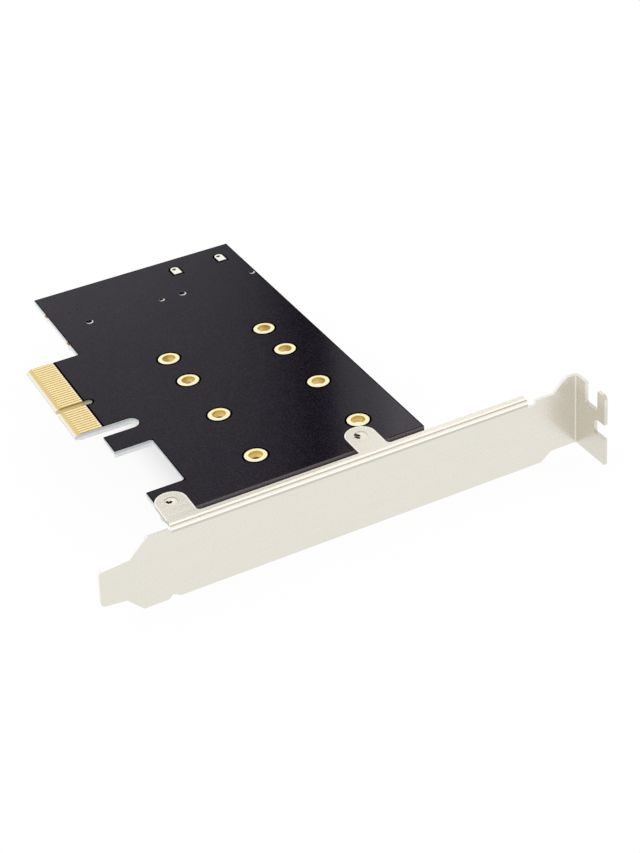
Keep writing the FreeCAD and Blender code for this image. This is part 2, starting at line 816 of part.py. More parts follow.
def header_housing():
    """The right-angle drive header: a shroud open at the far edge, with the contact blade inside."""
    body = new_body("sata_header_housing", "header_line")
    block = new_sketch(body, "header_block", "YZ_Plane")
    outline(block, [
        ("header_back", "0"),
        ("far_edge", "0"),
        ("far_edge", "-header_height"),
        ("header_back + header_wall", "-header_height"),
        ("header_back", "-header_height + header_wall"),
    ])
    pad(body, block, "header_width", middle=True)

    cavity = new_sketch(body, "header_cavity", "XZ_Plane", "-far_edge")
    inner = "(header_width / 2 - lock_thick - 2 * header_wall)"
    blade = "blade_width / 2"
    root = "-blade_level"
    rectangle(cavity, f"-{inner}", inner, "-header_height + header_wall", "-header_roof")
    outline(cavity, [
        (f"-{blade}", root),
        (blade, root),
        (blade, root + " + blade_thick"),
        (f"-{blade} + blade_hook", root + " + blade_thick"),
        (f"-{blade} + blade_hook", root + " + 2 * blade_thick"),
        (f"-{blade}", root + " + 2 * blade_thick"),
    ])
    pocket(body, cavity, "header_mouth_depth", reverse=True)

    # A groove for every pin, along the blade and out through the back
    cell = new_sketch(body, "header_cell", "YZ_Plane", "-3 * header_pin_pitch")
    outline(cell, [
        ("header_back", "0"),
        ("header_back + header_pin_thick + header_pin_fit", "0"),
        ("header_back + header_pin_thick + header_pin_fit", root),
        ("far_edge - header_mouth_depth", root),
        ("far_edge - header_mouth_depth", root + " - header_pin_thick"),
        ("header_back", root + " - header_pin_thick"),
    ])
    groove = pocket(body, cell, "header_pin_width + 2 * header_pin_fit", middle=True)
    repeated(body, [groove], "X_Axis", "header_pin_pitch", 7)

    # A slit in each side for the board lock
    slit = new_sketch(body, "lock_slit", "XY_Plane")
    for sign in ("-", ""):
        line = f"{sign}lock_spacing / 2"
        rectangle(slit, f"{line} - lock_thick / 2 - lock_fit", f"{line} + lock_thick / 2 + lock_fit",
                  "lock_row - lock_width / 2 - lock_fit", "lock_row + lock_width / 2 + lock_fit")
    pocket(body, slit, "lock_height + lock_fit")
    return body


def header_contacts():
    """The header's seven pins, from the solder foot behind the housing to the tip of the blade."""
    body = new_body("sata_header_contacts", "header_line")
    side = new_sketch(body, "header_pin", "YZ_Plane", "-3 * header_pin_pitch")
    outline(side, [
        ("header_back - header_pin_foot", "0"),
        ("header_back + header_pin_thick", "0"),
        ("header_back + header_pin_thick", "-blade_level"),
        ("far_edge - header_wall", "-blade_level"),
        ("far_edge - header_wall", "-blade_level - header_pin_thick"),
        ("header_back", "-blade_level - header_pin_thick"),
        ("header_back", "-header_pin_thick"),
        ("header_back - header_pin_foot", "-header_pin_thick"),
    ])
    strip = pad(body, side, "header_pin_width", middle=True)
    repeated(body, [strip], "X_Axis", "header_pin_pitch", 7)
    return body


def board_locks():
    """The two forked locks that hold the header down, soldered in the board."""
    body = new_body("sata_board_locks", "header_line - lock_spacing / 2", "lock_row")
    side = new_sketch(body, "lock_side", "YZ_Plane")
    tip = "board_thick - lock_tip_drop"
    outline(side, [
        ("-lock_width / 2", "-lock_height"),
        ("lock_width / 2", "-lock_height"),
        ("lock_width / 2", tip + " - lock_barb"),
        ("lock_width / 2 - lock_barb", tip),
        ("lock_fork_gap / 2", tip),
        ("lock_fork_gap / 2", "0"),
        ("-lock_fork_gap / 2", "0"),
        ("-lock_fork_gap / 2", tip),
        ("-lock_width / 2 + lock_barb", tip),
        ("-lock_width / 2", tip + " - lock_barb"),
    ])
    strip = pad(body, side, "lock_thick", middle=True)
    repeated(body, [strip], "X_Axis", "lock_spacing", 2)
    return body


def lock_solder():
    """The tinned pad over each lock: square at the near end, round at the far end about a small open hole."""
    body = new_body("sata_lock_solder", "header_line - lock_spacing / 2", "lock_row")
    pad_shape = new_sketch(body, "solder_pad", "XY_Plane", "board_thick")
    half = "solder_width / 2"
    near = "-(solder_length - solder_width / 2)"
    outline(pad_shape, [
        (f"-{half}", near),
        (half, near),
        (half, "0", "0", "0", "ccw"),
        (f"-{half}", "0"),
    ])
    circle(pad_shape, "0", "0", "solder_hole_radius")
    first = pad(body, pad_shape, "plating")
    repeated(body, [first], "X_Axis", "lock_spacing", 2)
    return body


def chip_row(label, ends_label, x, y, length, width, height, pitch, copies):
    """A row of two-terminal chips along Y: one node of bodies and one of their metal end caps."""
    bodies = new_body(label, x, y)
    core = new_sketch(bodies, label + "_core", "XY_Plane")
    rectangle(core, f"-{length} / 2 + chip_end", f"{length} / 2 - chip_end", f"-{width} / 2", f"{width} / 2")
    repeated(bodies, [pad(bodies, core, height, reverse=True)], "Y_Axis", pitch, copies)
    ends = new_body(ends_label, x, y)
    caps = new_sketch(ends, ends_label + "_caps", "XY_Plane")
    rectangle(caps, f"-{length} / 2", f"-{length} / 2 + chip_end", f"-{width} / 2", f"{width} / 2")
    rectangle(caps, f"{length} / 2 - chip_end", f"{length} / 2", f"-{width} / 2", f"{width} / 2")
    repeated(ends, [pad(ends, caps, height, reverse=True)], "Y_Axis", pitch, copies)
    return [bodies, ends]


def bulk_capacitors(x, y, copies):
    """Moulded tantalum capacitors beside the first module, with their folded end strips."""
    bodies = new_body("bulk_capacitors", x, y)
    side = new_sketch(bodies, "bulk_side", "XZ_Plane", "-bulk_width / 2")
    half = "bulk_length / 2 - lead_thick"
    waist = "-bulk_height / 2"
    outline(side, [
        (f"-({half}) + case_draft", "-case_lift"),
        (f"{half} - case_draft", "-case_lift"),
        (half, waist),
        (f"{half} - case_draft", "-bulk_height"),
        (f"-({half}) + case_draft", "-bulk_height"),
        (f"-({half})", waist),
    ])
    repeated(bodies, [pad(bodies, side, "bulk_width")], "Y_Axis", "bulk_pitch", copies)
    strips = new_body("bulk_capacitor_leads", x, y)
    for sign in ("-", ""):
        name = "left" if sign else "right"
        profile = new_sketch(strips, f"bulk_lead_{name}", "XZ_Plane", "-bulk_lead_width / 2")
        end = f"{sign}(bulk_length / 2)"
        inner = f"{sign}(bulk_length / 2 - lead_thick)"
        foot = f"{sign}(bulk_length / 2 - lead_thick - bulk_lead_foot)"
        outline(profile, [
            (end, "0"),
            (foot, "0"),
            (foot, "-case_lift"),
            (inner, "-case_lift"),
            (inner, waist),
            (end, waist),
        ])
        repeated(strips, [pad(strips, profile, "bulk_lead_width")], "Y_Axis", "bulk_pitch", copies)
    return [bodies, strips]


def regulator(x, y):
    """The 3.3 volt regulator: a moulded case with three gull-wing leads and a wide tab opposite."""
    case = new_body("voltage_regulator", x, y)
    side = new_sketch(case, "regulator_side", "XZ_Plane", "-regulator_length / 2")
    half = "regulator_width / 2"
    waist = "-regulator_height / 2"
    outline(side, [
        (f"-{half} + case_draft", "-case_lift"),
        (f"{half} - case_draft", "-case_lift"),
        (half, waist),
        (f"{half} - case_draft", "-regulator_height"),
        (f"-{half} + case_draft", "-regulator_height"),
        (f"-{half}", waist),
    ])
    pad(case, side, "regulator_length")
    leads = new_body("regulator_leads", x, y)
    for sign, width, offset, copies in (("-", "lead_width", "lead_pitch", 3), ("", "tab_lead_width", "0", 1)):
        profile = new_sketch(leads, "gull_wing_" + str(copies), "XZ_Plane", f"{offset} - {width} / 2")
        edge = f"{sign}({half})"
        knee = f"{sign}({half} + lead_reach / 2)"
        inner_knee = f"{sign}({half} + lead_reach / 2 - lead_thick)"
        toe = f"{sign}({half} + lead_reach)"
        outline(profile, [
            (edge, waist),
            (inner_knee, waist),
            (inner_knee, "0"),
            (toe, "0"),
            (toe, "-lead_thick"),
            (knee, "-lead_thick"),
            (knee, waist + " - lead_thick"),
            (edge, waist + " - lead_thick"),
        ])
        lead = pad(leads, profile, width)
        if copies > 1:
            repeated(leads, [lead], "Y_Axis", "lead_pitch", copies)
    return [case, leads]


def power_coil(x, y):
    """The moulded power inductor beside the regulator, with chamfered upright edges and two end plates."""
    case = new_body("power_inductor", x, y)
    block = new_sketch(case, "coil_block", "XY_Plane")
    half = "coil_size / 2"
    cut = "(coil_size / 2 - coil_chamfer)"
    outline(block, [
        (half, f"-{cut}"), (half, cut), (cut, half), (f"-{cut}", half),
        (f"-{half}", cut), (f"-{half}", f"-{cut}"), (f"-{cut}", f"-{half}"), (cut, f"-{half}"),
    ])
    pad(case, block, "coil_height", reverse=True)
    plates = new_body("inductor_ends", x, y)
    strip = new_sketch(plates, "inductor_plates", "XY_Plane")
    reach = "coil_end_width / 2"
    rectangle(strip, f"-{half} - coil_end_thick", f"-{half}", f"-{reach}", reach)
    rectangle(strip, half, f"{half} + coil_end_thick", f"-{reach}", reach)
    pad(plates, strip, "coil_end_height", reverse=True)
    return [case, plates]


nodes = [circuit_board(), mounting_bracket(), bracket_screws()]
for place, line in (("a", "slot_a_line"), ("b", "slot_a_line + slot_pitch")):
    for name, length in (("2230", "length_short"), ("2242", "length_medium"),
                         ("2260", "length_long"), ("2280", "length_full")):
        nodes.append(module_hole_liner(f"hole_liner_{place}_{name}", line, length))
nodes.append(edge_contacts("edge_contacts_solder_side", "board_thick", False))
nodes.append(edge_contacts("edge_contacts_component_side", "0", True))
for place, line, key in (("m_key", "slot_a_line", "m_key_line"),
                         ("b_key", "slot_a_line + slot_pitch", "b_key_line")):
    nodes.append(socket_housing(f"{place}_socket_housing", line, key))
    nodes.append(socket_contacts(f"{place}_socket_contacts", line, key))
    nodes.append(socket_holders(f"{place}_socket_holders", line))
nodes += [header_housing(), header_contacts(), board_locks(), lock_solder()]
nodes += chip_row("coupling_capacitors", "coupling_capacitor_ends", "coupling_line", "coupling_near",
                  "coupling_length", "coupling_width", "coupling_height", "coupling_pitch", 8)
nodes += chip_row("chip_resistors", "chip_resistor_ends", "resistor_line", "resistor_near",
                  "chip_length", "chip_width", "chip_height", "chip_pitch", 6)
nodes += chip_row("status_lamps", "status_lamp_ends", "lamp_line", "lamp_near",
                  "chip_length", "chip_width", "lamp_height", "chip_pitch", 2)
nodes += bulk_capacitors("bulk_line", "bulk_near", 2)
nodes += regulator("regulator_line", "power_row")
nodes += power_coil("coil_line", "power_row")
doc.removeObject(reader.Name)
doc.recompute()

failed = [item.Name for item in doc.Objects if "Invalid" in item.State or "Error" in item.State]
if failed:
    raise ValueError(f"failed objects: {failed}")
for node in nodes:
    if node.Shape.isNull() or not node.Shape.isValid() or not node.Shape.Solids:
        raise ValueError(f"{node.Label} has no valid solid")

os.makedirs("parts", exist_ok=True)
for node in nodes:
    node.Shape.exportStep(f"parts/{node.Label}.step")
    print(f"{node.Label}: {len(node.Shape.Solids)} solids, {node.Shape.Volume:.1f} mm3")
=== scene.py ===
from math import radians

import bpy
import numpy as np
from mathutils import Matrix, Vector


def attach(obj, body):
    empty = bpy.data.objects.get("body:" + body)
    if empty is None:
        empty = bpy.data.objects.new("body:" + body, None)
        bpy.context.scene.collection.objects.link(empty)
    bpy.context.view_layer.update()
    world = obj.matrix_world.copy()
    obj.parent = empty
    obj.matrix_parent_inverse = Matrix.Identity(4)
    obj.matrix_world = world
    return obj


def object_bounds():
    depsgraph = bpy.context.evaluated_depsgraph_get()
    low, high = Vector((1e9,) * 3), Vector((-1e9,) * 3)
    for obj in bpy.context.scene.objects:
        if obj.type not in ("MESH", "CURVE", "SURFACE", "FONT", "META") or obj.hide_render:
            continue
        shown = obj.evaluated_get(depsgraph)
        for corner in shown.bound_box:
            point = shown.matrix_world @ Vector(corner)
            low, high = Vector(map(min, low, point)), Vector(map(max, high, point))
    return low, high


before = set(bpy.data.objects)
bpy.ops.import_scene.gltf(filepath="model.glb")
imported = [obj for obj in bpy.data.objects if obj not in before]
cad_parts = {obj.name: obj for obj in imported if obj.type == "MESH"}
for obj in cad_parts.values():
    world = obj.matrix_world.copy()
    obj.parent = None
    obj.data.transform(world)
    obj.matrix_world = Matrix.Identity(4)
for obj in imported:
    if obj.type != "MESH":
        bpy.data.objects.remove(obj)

cad_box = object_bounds()


# The circuit board: 1.6 mm of glass cloth and epoxy, with copper on both faces under black satin solder mask.
# Its outline is routed and its contact edge is bevelled, so those cuts show the bare pale laminate.

def to_linear(code):
    """The linear colour that a shader socket takes, from an sRGB hex code."""
    parts = np.array([int(code[at:at + 2], 16) for at in (1, 3, 5)]) / 255
    parts = np.where(parts <= 0.04045, parts / 12.92, ((parts + 0.055) / 1.055) ** 2.4)
    return (*parts.tolist(), 1.0)


def add(tree, kind, feeds=None, **settings):
    """Adds one node with its settings; feeds gives an input, by name or number, its value or its source."""
    node = tree.nodes.new(kind)
    for name, setting in settings.items():
        setattr(node, name, setting)
    for name, source in (feeds or {}).items():
        if isinstance(source, bpy.types.NodeSocket):
            tree.links.new(source, node.inputs[name])
        else:
            node.inputs[name].default_value = source
    return node


def new_finish(name, **constants):
    """A material with one shader, and the values that are the same all over its surface."""
    finish = bpy.data.materials.new(name)
    finish.use_nodes = True
    tree = finish.node_tree
    shader = tree.nodes["Principled BSDF"]
    for socket, constant in constants.items():
        shader.inputs[socket.replace("_", " ")].default_value = constant
    place = add(tree, "ShaderNodeTexCoord").outputs["Object"]
    return finish, tree, shader, place


def coat(tree, shader, tone, gloss=None, relief=None):
    """Links a finish's colour to its shader, and its roughness and its fine relief where they vary."""
    for name, source in (("Base Color", tone), ("Roughness", gloss), ("Normal", relief)):
        if source is not None:
            tree.links.new(source, shader.inputs[name])


def dress(finish, *nodes):
    """Gives carried-over CAD nodes their finish."""
    for node in nodes:
        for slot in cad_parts[node].material_slots:
            slot.material = finish


# Satin mask: nearly black with a cool cast, cloudy by a shade where it is thicker over the copper, and smooth
# enough to mirror a soft light as a grey veil. Cut edges are pale glass cloth in layers.
MASK_TINT = (0.94, 0.87, 1.0, 1.0)
board_finish, tree, shader, place = new_finish("satin_black_solder_mask_on_laminate", Specular_IOR_Level=0.17,
                                               Specular_Tint=MASK_TINT)
spot = add(tree, "ShaderNodeSeparateXYZ", {0: place}).outputs


def within(tree, source, low, high):
    """1 where a coordinate lies between two places, given in mm."""
    return add(tree, "ShaderNodeMath", {0: source, 1: (low + high) / 2000, 2: (high - low) / 2000},
               operation="COMPARE").outputs[0]


def both(tree, first, second):
    """1 where both of two shares are 1."""
    return add(tree, "ShaderNodeMath", {0: first, 1: second}, operation="MULTIPLY").outputs[0]


def blend(tree, share, first, second):
    """A colour that goes from first to second as share goes from 0 to 1; each is a source or a hex code."""
    pair = [to_linear(colour) if isinstance(colour, str) else colour for colour in (first, second)]
    return add(tree, "ShaderNodeMix", {0: share, 6: pair[0], 7: pair[1]}, data_type="RGBA").outputs[2]


normal = add(tree, "ShaderNodeNewGeometry").outputs["True Normal"]
upright = add(tree, "ShaderNodeMath", {0: add(tree, "ShaderNodeSeparateXYZ", {0: normal}).outputs["Z"]},
              operation="ABSOLUTE").outputs[0]
is_face = add(tree, "ShaderNodeMath", {0: upright, 1: 0.99}, operation="GREATER_THAN").outputs[0]
is_cut = add(tree, "ShaderNodeMath", {0: upright, 1: 0.5}, operation="LESS_THAN").outputs[0]
# The tongue is bare under its fingers, and so are the two panel stubs beyond the shoulder
tongue = both(tree, within(tree, spot["X"], -1.0, 6.95), within(tree, spot["Y"], 45.0, 81.0))
stubs = both(tree, within(tree, spot["X"], 10.0, 13.62), within(tree, spot["Y"], 81.0, 112.0))
opened = add(tree, "ShaderNodeMath", {0: tongue, 1: stubs}, operation="MAXIMUM").outputs[0]
closed_off = add(tree, "ShaderNodeMath", {0: 1.0, 1: opened}, operation="SUBTRACT").outputs[0]
covered = both(tree, is_face, closed_off)

clouds = add(tree, "ShaderNodeTexNoise", {"Vector": place, "Scale": 1000 / 3.0, "Detail": 3.0}).outputs[0]
dust = add(tree, "ShaderNodeTexNoise", {"Vector": place, "Scale": 1000 / 0.3, "Detail": 1.0}).outputs[0]
speckle = add(tree, "ShaderNodeMapRange", {0: dust, 1: 0.44, 2: 0.58}).outputs[0]
thin = blend(tree, clouds, "#0C0A10", "#141118")
thick = blend(tree, clouds, "#1D1A24", "#28242D")
mask_tone = blend(tree, speckle, thin, thick)
# Eight layers of glass cloth in the 1.6 mm thickness, greyer in the upper half
layers = add(tree, "ShaderNodeMath", {0: spot["Z"], 1: 2 * np.pi / 0.0002}, operation="MULTIPLY").outputs[0]
layers = add(tree, "ShaderNodeMath", {0: layers}, operation="SINE").outputs[0]
layers = add(tree, "ShaderNodeMapRange", {0: layers, 1: -1.0, 2: 1.0}).outputs[0]
strands = add(tree, "ShaderNodeTexNoise", {"Vector": place, "Scale": 1000 / 0.5, "Detail": 2.0}).outputs[0]
layers = both(tree, layers, strands)
height = add(tree, "ShaderNodeMapRange", {0: spot["Z"], 1: 0.0006, 2: 0.0012}).outputs[0]
resin = blend(tree, height, "#F8F9FA", "#CDD4D7")
cloth = blend(tree, height, "#E2E5E6", "#A8B1B5")
glass_tone = blend(tree, layers, resin, cloth)
# The edge behind the bracket's lip is painted dark, a painted shadow between board and lip;
# the key's walls took on gold, brown at the rim
in_key = within(tree, spot["Y"], 56.5, 59.2)
key_wall = both(tree, within(tree, spot["X"], -1.0, 6.9), in_key)
key_end = both(tree, within(tree, spot["X"], 6.9, 9.5), in_key)
rim_height = add(tree, "ShaderNodeMapRange", {0: spot["Z"], 1: 0.001, 2: 0.0014}).outputs[0]
lip_shadow = within(tree, spot["Y"], 4.0, 5.05)
lip_shadow_tone = blend(tree, height, "#463E44", "#7B7278")
cut_tone = blend(tree, key_wall, glass_tone, blend(tree, rim_height, "#F0DDAB", "#A0854F"))
cut_tone = blend(tree, key_end, cut_tone, blend(tree, rim_height, "#C9C6BE", "#77736C"))
cut_tone = blend(tree, lip_shadow, cut_tone, lip_shadow_tone)
# The stubs are torn glass: brown at the top where they meet the board, white elsewhere
torn = add(tree, "ShaderNodeMapRange", {0: spot["X"], 1: 0.0128, 2: 0.0132}).outputs[0]
torn = both(tree, torn, add(tree, "ShaderNodeMapRange", {0: spot["Z"], 1: 0.0012, 2: 0.0015}).outputs[0])
stub_tone = blend(tree, torn, "#FCFAF4", blend(tree, strands, "#B0936A", "#7A5E3A"))
cut_tone = blend(tree, stubs, cut_tone, stub_tone)
# The peg holes' walls are painted dark, a painted shade inside the holes
peg_hole_shade = both(tree, within(tree, spot["X"], 20.0, 68.5), within(tree, spot["Y"], 93.4, 95.3))
cut_tone = blend(tree, peg_hole_shade, cut_tone, blend(tree, strands, "#0B0A0A", "#1E1B19"))
gap_tone = blend(tree, strands, "#C6AA6C", "#A98B52")
gap_tone = blend(tree, stubs, gap_tone, stub_tone)
# The bevel is scraped: some gold is smeared down its upper half, and the tip is pale
scraped = add(tree, "ShaderNodeMapRange", {0: spot["X"], 1: 0.0003, 2: 0.0008}).outputs[0]
bevel_tone = blend(tree, scraped, "#F3EFDD", blend(tree, strands, "#E6CF92", "#D6BB79"))
bare = blend(tree, is_cut, blend(tree, is_face, bevel_tone, gap_tone), cut_tone)
tone = blend(tree, covered, bare, mask_tone)
fine = add(tree, "ShaderNodeTexNoise", {"Vector": place, "Scale": 1000 / 0.8, "Detail": 2.0}).outputs[0]
gloss = add(tree, "ShaderNodeMapRange", {0: fine, 1: 0.3, 2: 0.7, 3: 0.05, 4: 0.085}).outputs[0]
gloss = add(tree, "ShaderNodeMix", {0: covered, 2: 0.75, 3: gloss}).outputs[0]
skin = add(tree, "ShaderNodeBump", {"Height": fine, "Distance": 0.0000006})
coat(tree, shader, tone, gloss, skin.outputs[0])
dress(board_finish, "circuit_board")

BOARD_THICK = 1.6


def carried(path, profile, closed=False):
    """Point (s, t) = path(s) + side(s) * profile(t)[0] + up * profile(t)[1], mitred at the path's corners.

    path is points in mm, and profile a loop of (to the right, up) offsets that runs anticlockwise.
    """
    path = np.asarray(path, float)
    profile = np.asarray(profile, float)
    ahead = np.roll(path, -1, axis=0) - path
    if not closed:
        ahead[-1] = ahead[-2]
    behind = np.roll(ahead, 1, axis=0)
    if not closed:
        behind[0] = ahead[0]
    right = [way[:, [1, 0]] * (1, -1) / np.linalg.norm(way[:, :2], axis=1, keepdims=True)
             for way in (ahead, behind)]
    outward = right[0] + right[1]
    side = np.zeros_like(path)
    side[:, :2] = outward / (0.5 * (outward * outward).sum(axis=1, keepdims=True))
    points = path[:, None] + side[:, None] * profile[None, :, :1] + profile[None, :, 1:] * np.array((0, 0, 1))
    count, loop = len(path), len(profile)
    s, t = np.meshgrid(np.arange(count if closed else count - 1), np.arange(loop), indexing="ij")
    further, across = (s + 1) % count, (t + 1) % loop
    quads = np.stack((s * loop + t, further * loop + t, further * loop + across, s * loop + across), axis=-1)
    faces = quads.reshape(-1, 4).tolist()
    if not closed:
        faces += [list(range(loop)), list(range(count * loop - 1, (count - 1) * loop - 1, -1))]
    return points.reshape(-1, 3), faces


def turned(centre, profile, steps=32):
    """Point (t, a) = centre + (r(t) cos a, r(t) sin a, h(t)), for (r, h) from the upper to the lower pole."""
    inner = np.asarray(profile[1:-1], float)
    angle = np.arange(steps) * 2 * np.pi / steps
    rings = np.stack((inner[:, :1] * np.cos(angle), inner[:, :1] * np.sin(angle),
                      np.repeat(inner[:, 1:], steps, axis=1)), axis=-1).reshape(-1, 3)
    poles = np.array(((0, 0, profile[0][1]), (0, 0, profile[-1][1])))
    here = np.arange(steps)
    there = (here + 1) % steps
    last = (len(inner) - 1) * steps
    top = np.stack((np.full(steps, len(rings)), here, there), axis=-1)
    foot = np.stack((last + here, np.full(steps, len(rings) + 1), last + there), axis=-1)
    t, a = np.meshgrid(np.arange(len(inner) - 1) * steps, here, indexing="ij")
    b = (a + 1) % steps
    quads = np.stack((t + a, t + steps + a, t + steps + b, t + b), axis=-1).reshape(-1, 4)
    points = np.vstack((rings, poles)) + np.asarray(centre, float)
    return points, top.tolist() + quads.tolist() + foot.tolist()


def make_piece(name, parts, finish, crease=35):
    """One mesh piece from several (points in mm, faces), smooth but for edges that turn more than crease."""
    mesh = bpy.data.meshes.new(name)
    starts = np.cumsum([0] + [len(points) for points, faces in parts])
    faces = [[corner + start for corner in face] for start, (points, loops) in zip(starts.tolist(), parts)
             for face in loops]
    mesh.from_pydata((np.vstack([points for points, loops in parts]) * 0.001).tolist(), [], faces)
    mesh.polygons.foreach_set("use_smooth", np.ones(len(mesh.polygons), bool))
    mesh.set_sharp_from_angle(angle=radians(crease))
    mesh.materials.append(finish)
    piece = bpy.data.objects.new(name, mesh)
    bpy.context.scene.collection.objects.link(piece)
    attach(piece, "root")
    return piece


# Bare mask over raised copper: the same satin film, a shade lighter where it runs over an edge
film, tree, shader, place = new_finish("satin_mask_over_copper", Specular_IOR_Level=0.17,
                                       Specular_Tint=MASK_TINT, Roughness=0.12)
patches = add(tree, "ShaderNodeTexNoise", {"Vector": place, "Scale": 1000 / 1.5}).outputs[0]
tree.links.new(blend(tree, patches, "#131118", "#201D27"), shader.inputs["Base Color"])

# Copper tracks stand 0.035 mm proud under the film; here 0.05 mm, so that they catch the light
TRACK_RISE = 0.05


def track(points, width):
    """A low bar with sloping flanks along a route of (x, y) points on the component face."""
    half, slope = width / 2, 0.05
    section = [(-half - slope, 0.01), (-half, -TRACK_RISE), (half, -TRACK_RISE), (half + slope, 0.01)]
    return carried([(x, y, 0.0) for x, y in points], section)


def covered_via(x, y):
    """A plated via under the film of the component face: a low ring with a dimple, turned round its axis."""
    profile = [(0, 0.01), (0.42, 0.01), (0.38, -0.02), (0.3, -0.05), (0.2, -0.05), (0.1, -0.02), (0, -0.015)]
    return turned((x, y, 0.0), profile, 16)


# Lanes leave the contacts, pass the coupling capacitors and turn up to the first socket's front row. The
# lowest one lies furthest in, so that none crosses another, and all pass clear of the module holes.
lane_tracks = []
for lane in range(8):
    near, far, column = 59.5 + 2 * lane, 60.3 + 2 * lane, 27.8 - 0.6 * lane
    lane_tracks.append(track([(6.9, near), (10.5, near)], 0.2))
    lane_tracks.append(track([(11.2, far), (column - 4, far), (column, far + 4), (column, 89.2)], 0.2))
# The drive lanes run straight from the second socket to the header, past the ground pins between them
lane_tracks += [track([(57.65 + 1.27 * pin, 98.9), (57.65 + 1.27 * pin, 101.9)], 0.25)
                for pin in (-2, -1, 1, 2)]
# Supply: bulk capacitors to regulator, regulator to coil, coil to the second socket; then lines to the lamps
supply_tracks = [track(route, width) for route, width in (
    ([(17.55, 92.2), (17.55, 98.0), (20.9, 101.35), (22.0, 101.35)], 1.2),
    ([(28.9, 104.0), (31.4, 104.0)], 1.6),
    ([(36.6, 104.0), (43.6, 104.0), (46.8, 100.8)], 1.2),
    ([(44.75, 43.4), (44.75, 80.0), (49.5, 84.75), (49.5, 89.2)], 0.3),
    ([(44.75, 28.4), (44.75, 26.0), (40.0, 21.25), (22.0, 21.25), (18.95, 18.2), (18.95, 12.8)], 0.3),
)]
make_piece("raised_tracks_component_side", lane_tracks + supply_tracks, film)

# Ground vias in loose rows between the sockets and the far edge, seen as faint dots on the solder side
via_places = [(19.2, 101.6), (21.4, 102.0), (24.2, 101.2), (26.8, 99.8), (29.4, 100.4), (22.6, 104.6),
              (25.6, 105.2), (30.8, 103.0), (33.6, 101.4), (17.4, 95.8), (36.2, 96.8), (38.4, 99.2),
              (44.6, 103.4), (46.8, 100.8), (50.4, 97.2), (53.2, 99.6), (60.8, 98.8), (63.4, 101.2),
              (16.2, 84.6), (18.6, 83.4), (24.0, 81.6), (40.8, 85.8), (45.2, 82.2), (49.6, 86.4),
              (26.6, 71.0)]
# The component side has only those past y 98 mm, by the sockets' far feet, and those past x 40 mm
raised_vias = [(x, y) for x, y in via_places if y > 98 or x > 40]
make_piece("covered_vias_component_side", [covered_via(x, y) for x, y in raised_vias], film)

# The copper stops 0.3 mm short of the routed outline, so the mask dips there and looks blackest
edge_shade, tree, shader, place = new_finish("thin_mask_at_routed_edge", Specular_IOR_Level=0.0,
                                             Roughness=0.8)
wisps = add(tree, "ShaderNodeTexNoise", {"Vector": place, "Scale": 1000 / 0.6}).outputs[0]
tree.links.new(blend(tree, wisps, "#010101", "#0C0A0D"), shader.inputs["Base Color"])


def arc_points(x, y, radius, start, end, steps=10):
    """Points on an arc about (x, y), from one angle in degrees to another."""
    angle = np.radians(np.linspace(start, end, steps))
    return np.stack((x + radius * np.cos(angle), y + radius * np.sin(angle)), axis=-1).tolist()


# On the solder side the film sags into each via and leaves a dark dot
dot = [(0, 0.012), (0.12, 0.012), (0.16, -0.01), (0, -0.01)]
make_piece("sunken_vias_solder_side", [turned((x, y, BOARD_THICK), dot, 16) for x, y in via_places],
           edge_shade)


def edge_line(route, wide=0.26):
    """A dark line just inside a stretch of the outline, whose inside is on its left."""
    section = [(-0.01, -0.01), (-0.03, 0.008), (-wide, 0.008), (-wide - 0.02, -0.01)]
    return carried([(x, y, BOARD_THICK) for x, y in route], section)


near_slot = arc_points(12.925, 43.625, 2.125, -90, 90)
key_round = arc_points(8.0, 57.9, 0.95, -90, 90)
outline_routes = [
    [(6.95, 45.75), *near_slot[::-1], (5.45, 41.5), (5.45, 34.4), (14.65, 34.4), (14.65, 15.55),
     (5.45, 15.55), (5.45, 8.0)],
    [(60.0, 5.0), (68.9, 5.0), (68.9, 113.3), (13.65, 113.3), (13.65, 80.05), (6.95, 80.05)],
]
mask_ends = [[(6.93, 80.0), (6.93, 58.85), *key_round[::-1], (6.93, 56.95), (6.93, 45.8)]]
make_piece("dark_mask_edge", [edge_line(route) for route in outline_routes] +
           [edge_line(route, 0.5) for route in mask_ends], edge_shade)


# The contact edge: 32 fingers a side, copper plated with nickel and then hard gold, worn in by the slot's
# springs. Hard gold: bright pale yellow with fine rub lines along the way in.
hard_gold, tree, shader, place = new_finish("hard_gold_plating", Metallic=1.0)
rub_way = add(tree, "ShaderNodeMapping", {"Vector": place, "Scale": (0.06, 1.0, 1.0)}).outputs[0]
rubs = add(tree, "ShaderNodeTexNoise", {"Vector": rub_way, "Scale": 1000 / 0.09, "Detail": 3.0}).outputs[0]
# Where the mask stopped, the last 0.35 mm stays bright because no spring reaches it
reach_x = add(tree, "ShaderNodeSeparateXYZ", {0: place}).outputs["X"]
untouched = add(tree, "ShaderNodeMapRange", {0: reach_x, 1: 0.0064, 2: 0.0066}).outputs[0]
tone = blend(tree, untouched, blend(tree, rubs, "#FFF0BA", "#FBE4A8"), "#FFFBEA")
gloss = add(tree, "ShaderNodeMapRange", {0: rubs, 1: 0.3, 2: 0.7, 3: 0.4, 4: 0.48}).outputs[0]
scratches = add(tree, "ShaderNodeBump", {"Height": rubs, "Distance": 0.0000008})
coat(tree, shader, tone, gloss, scratches.outputs[0])
dress(hard_gold, "edge_contacts_solder_side", "edge_contacts_component_side")
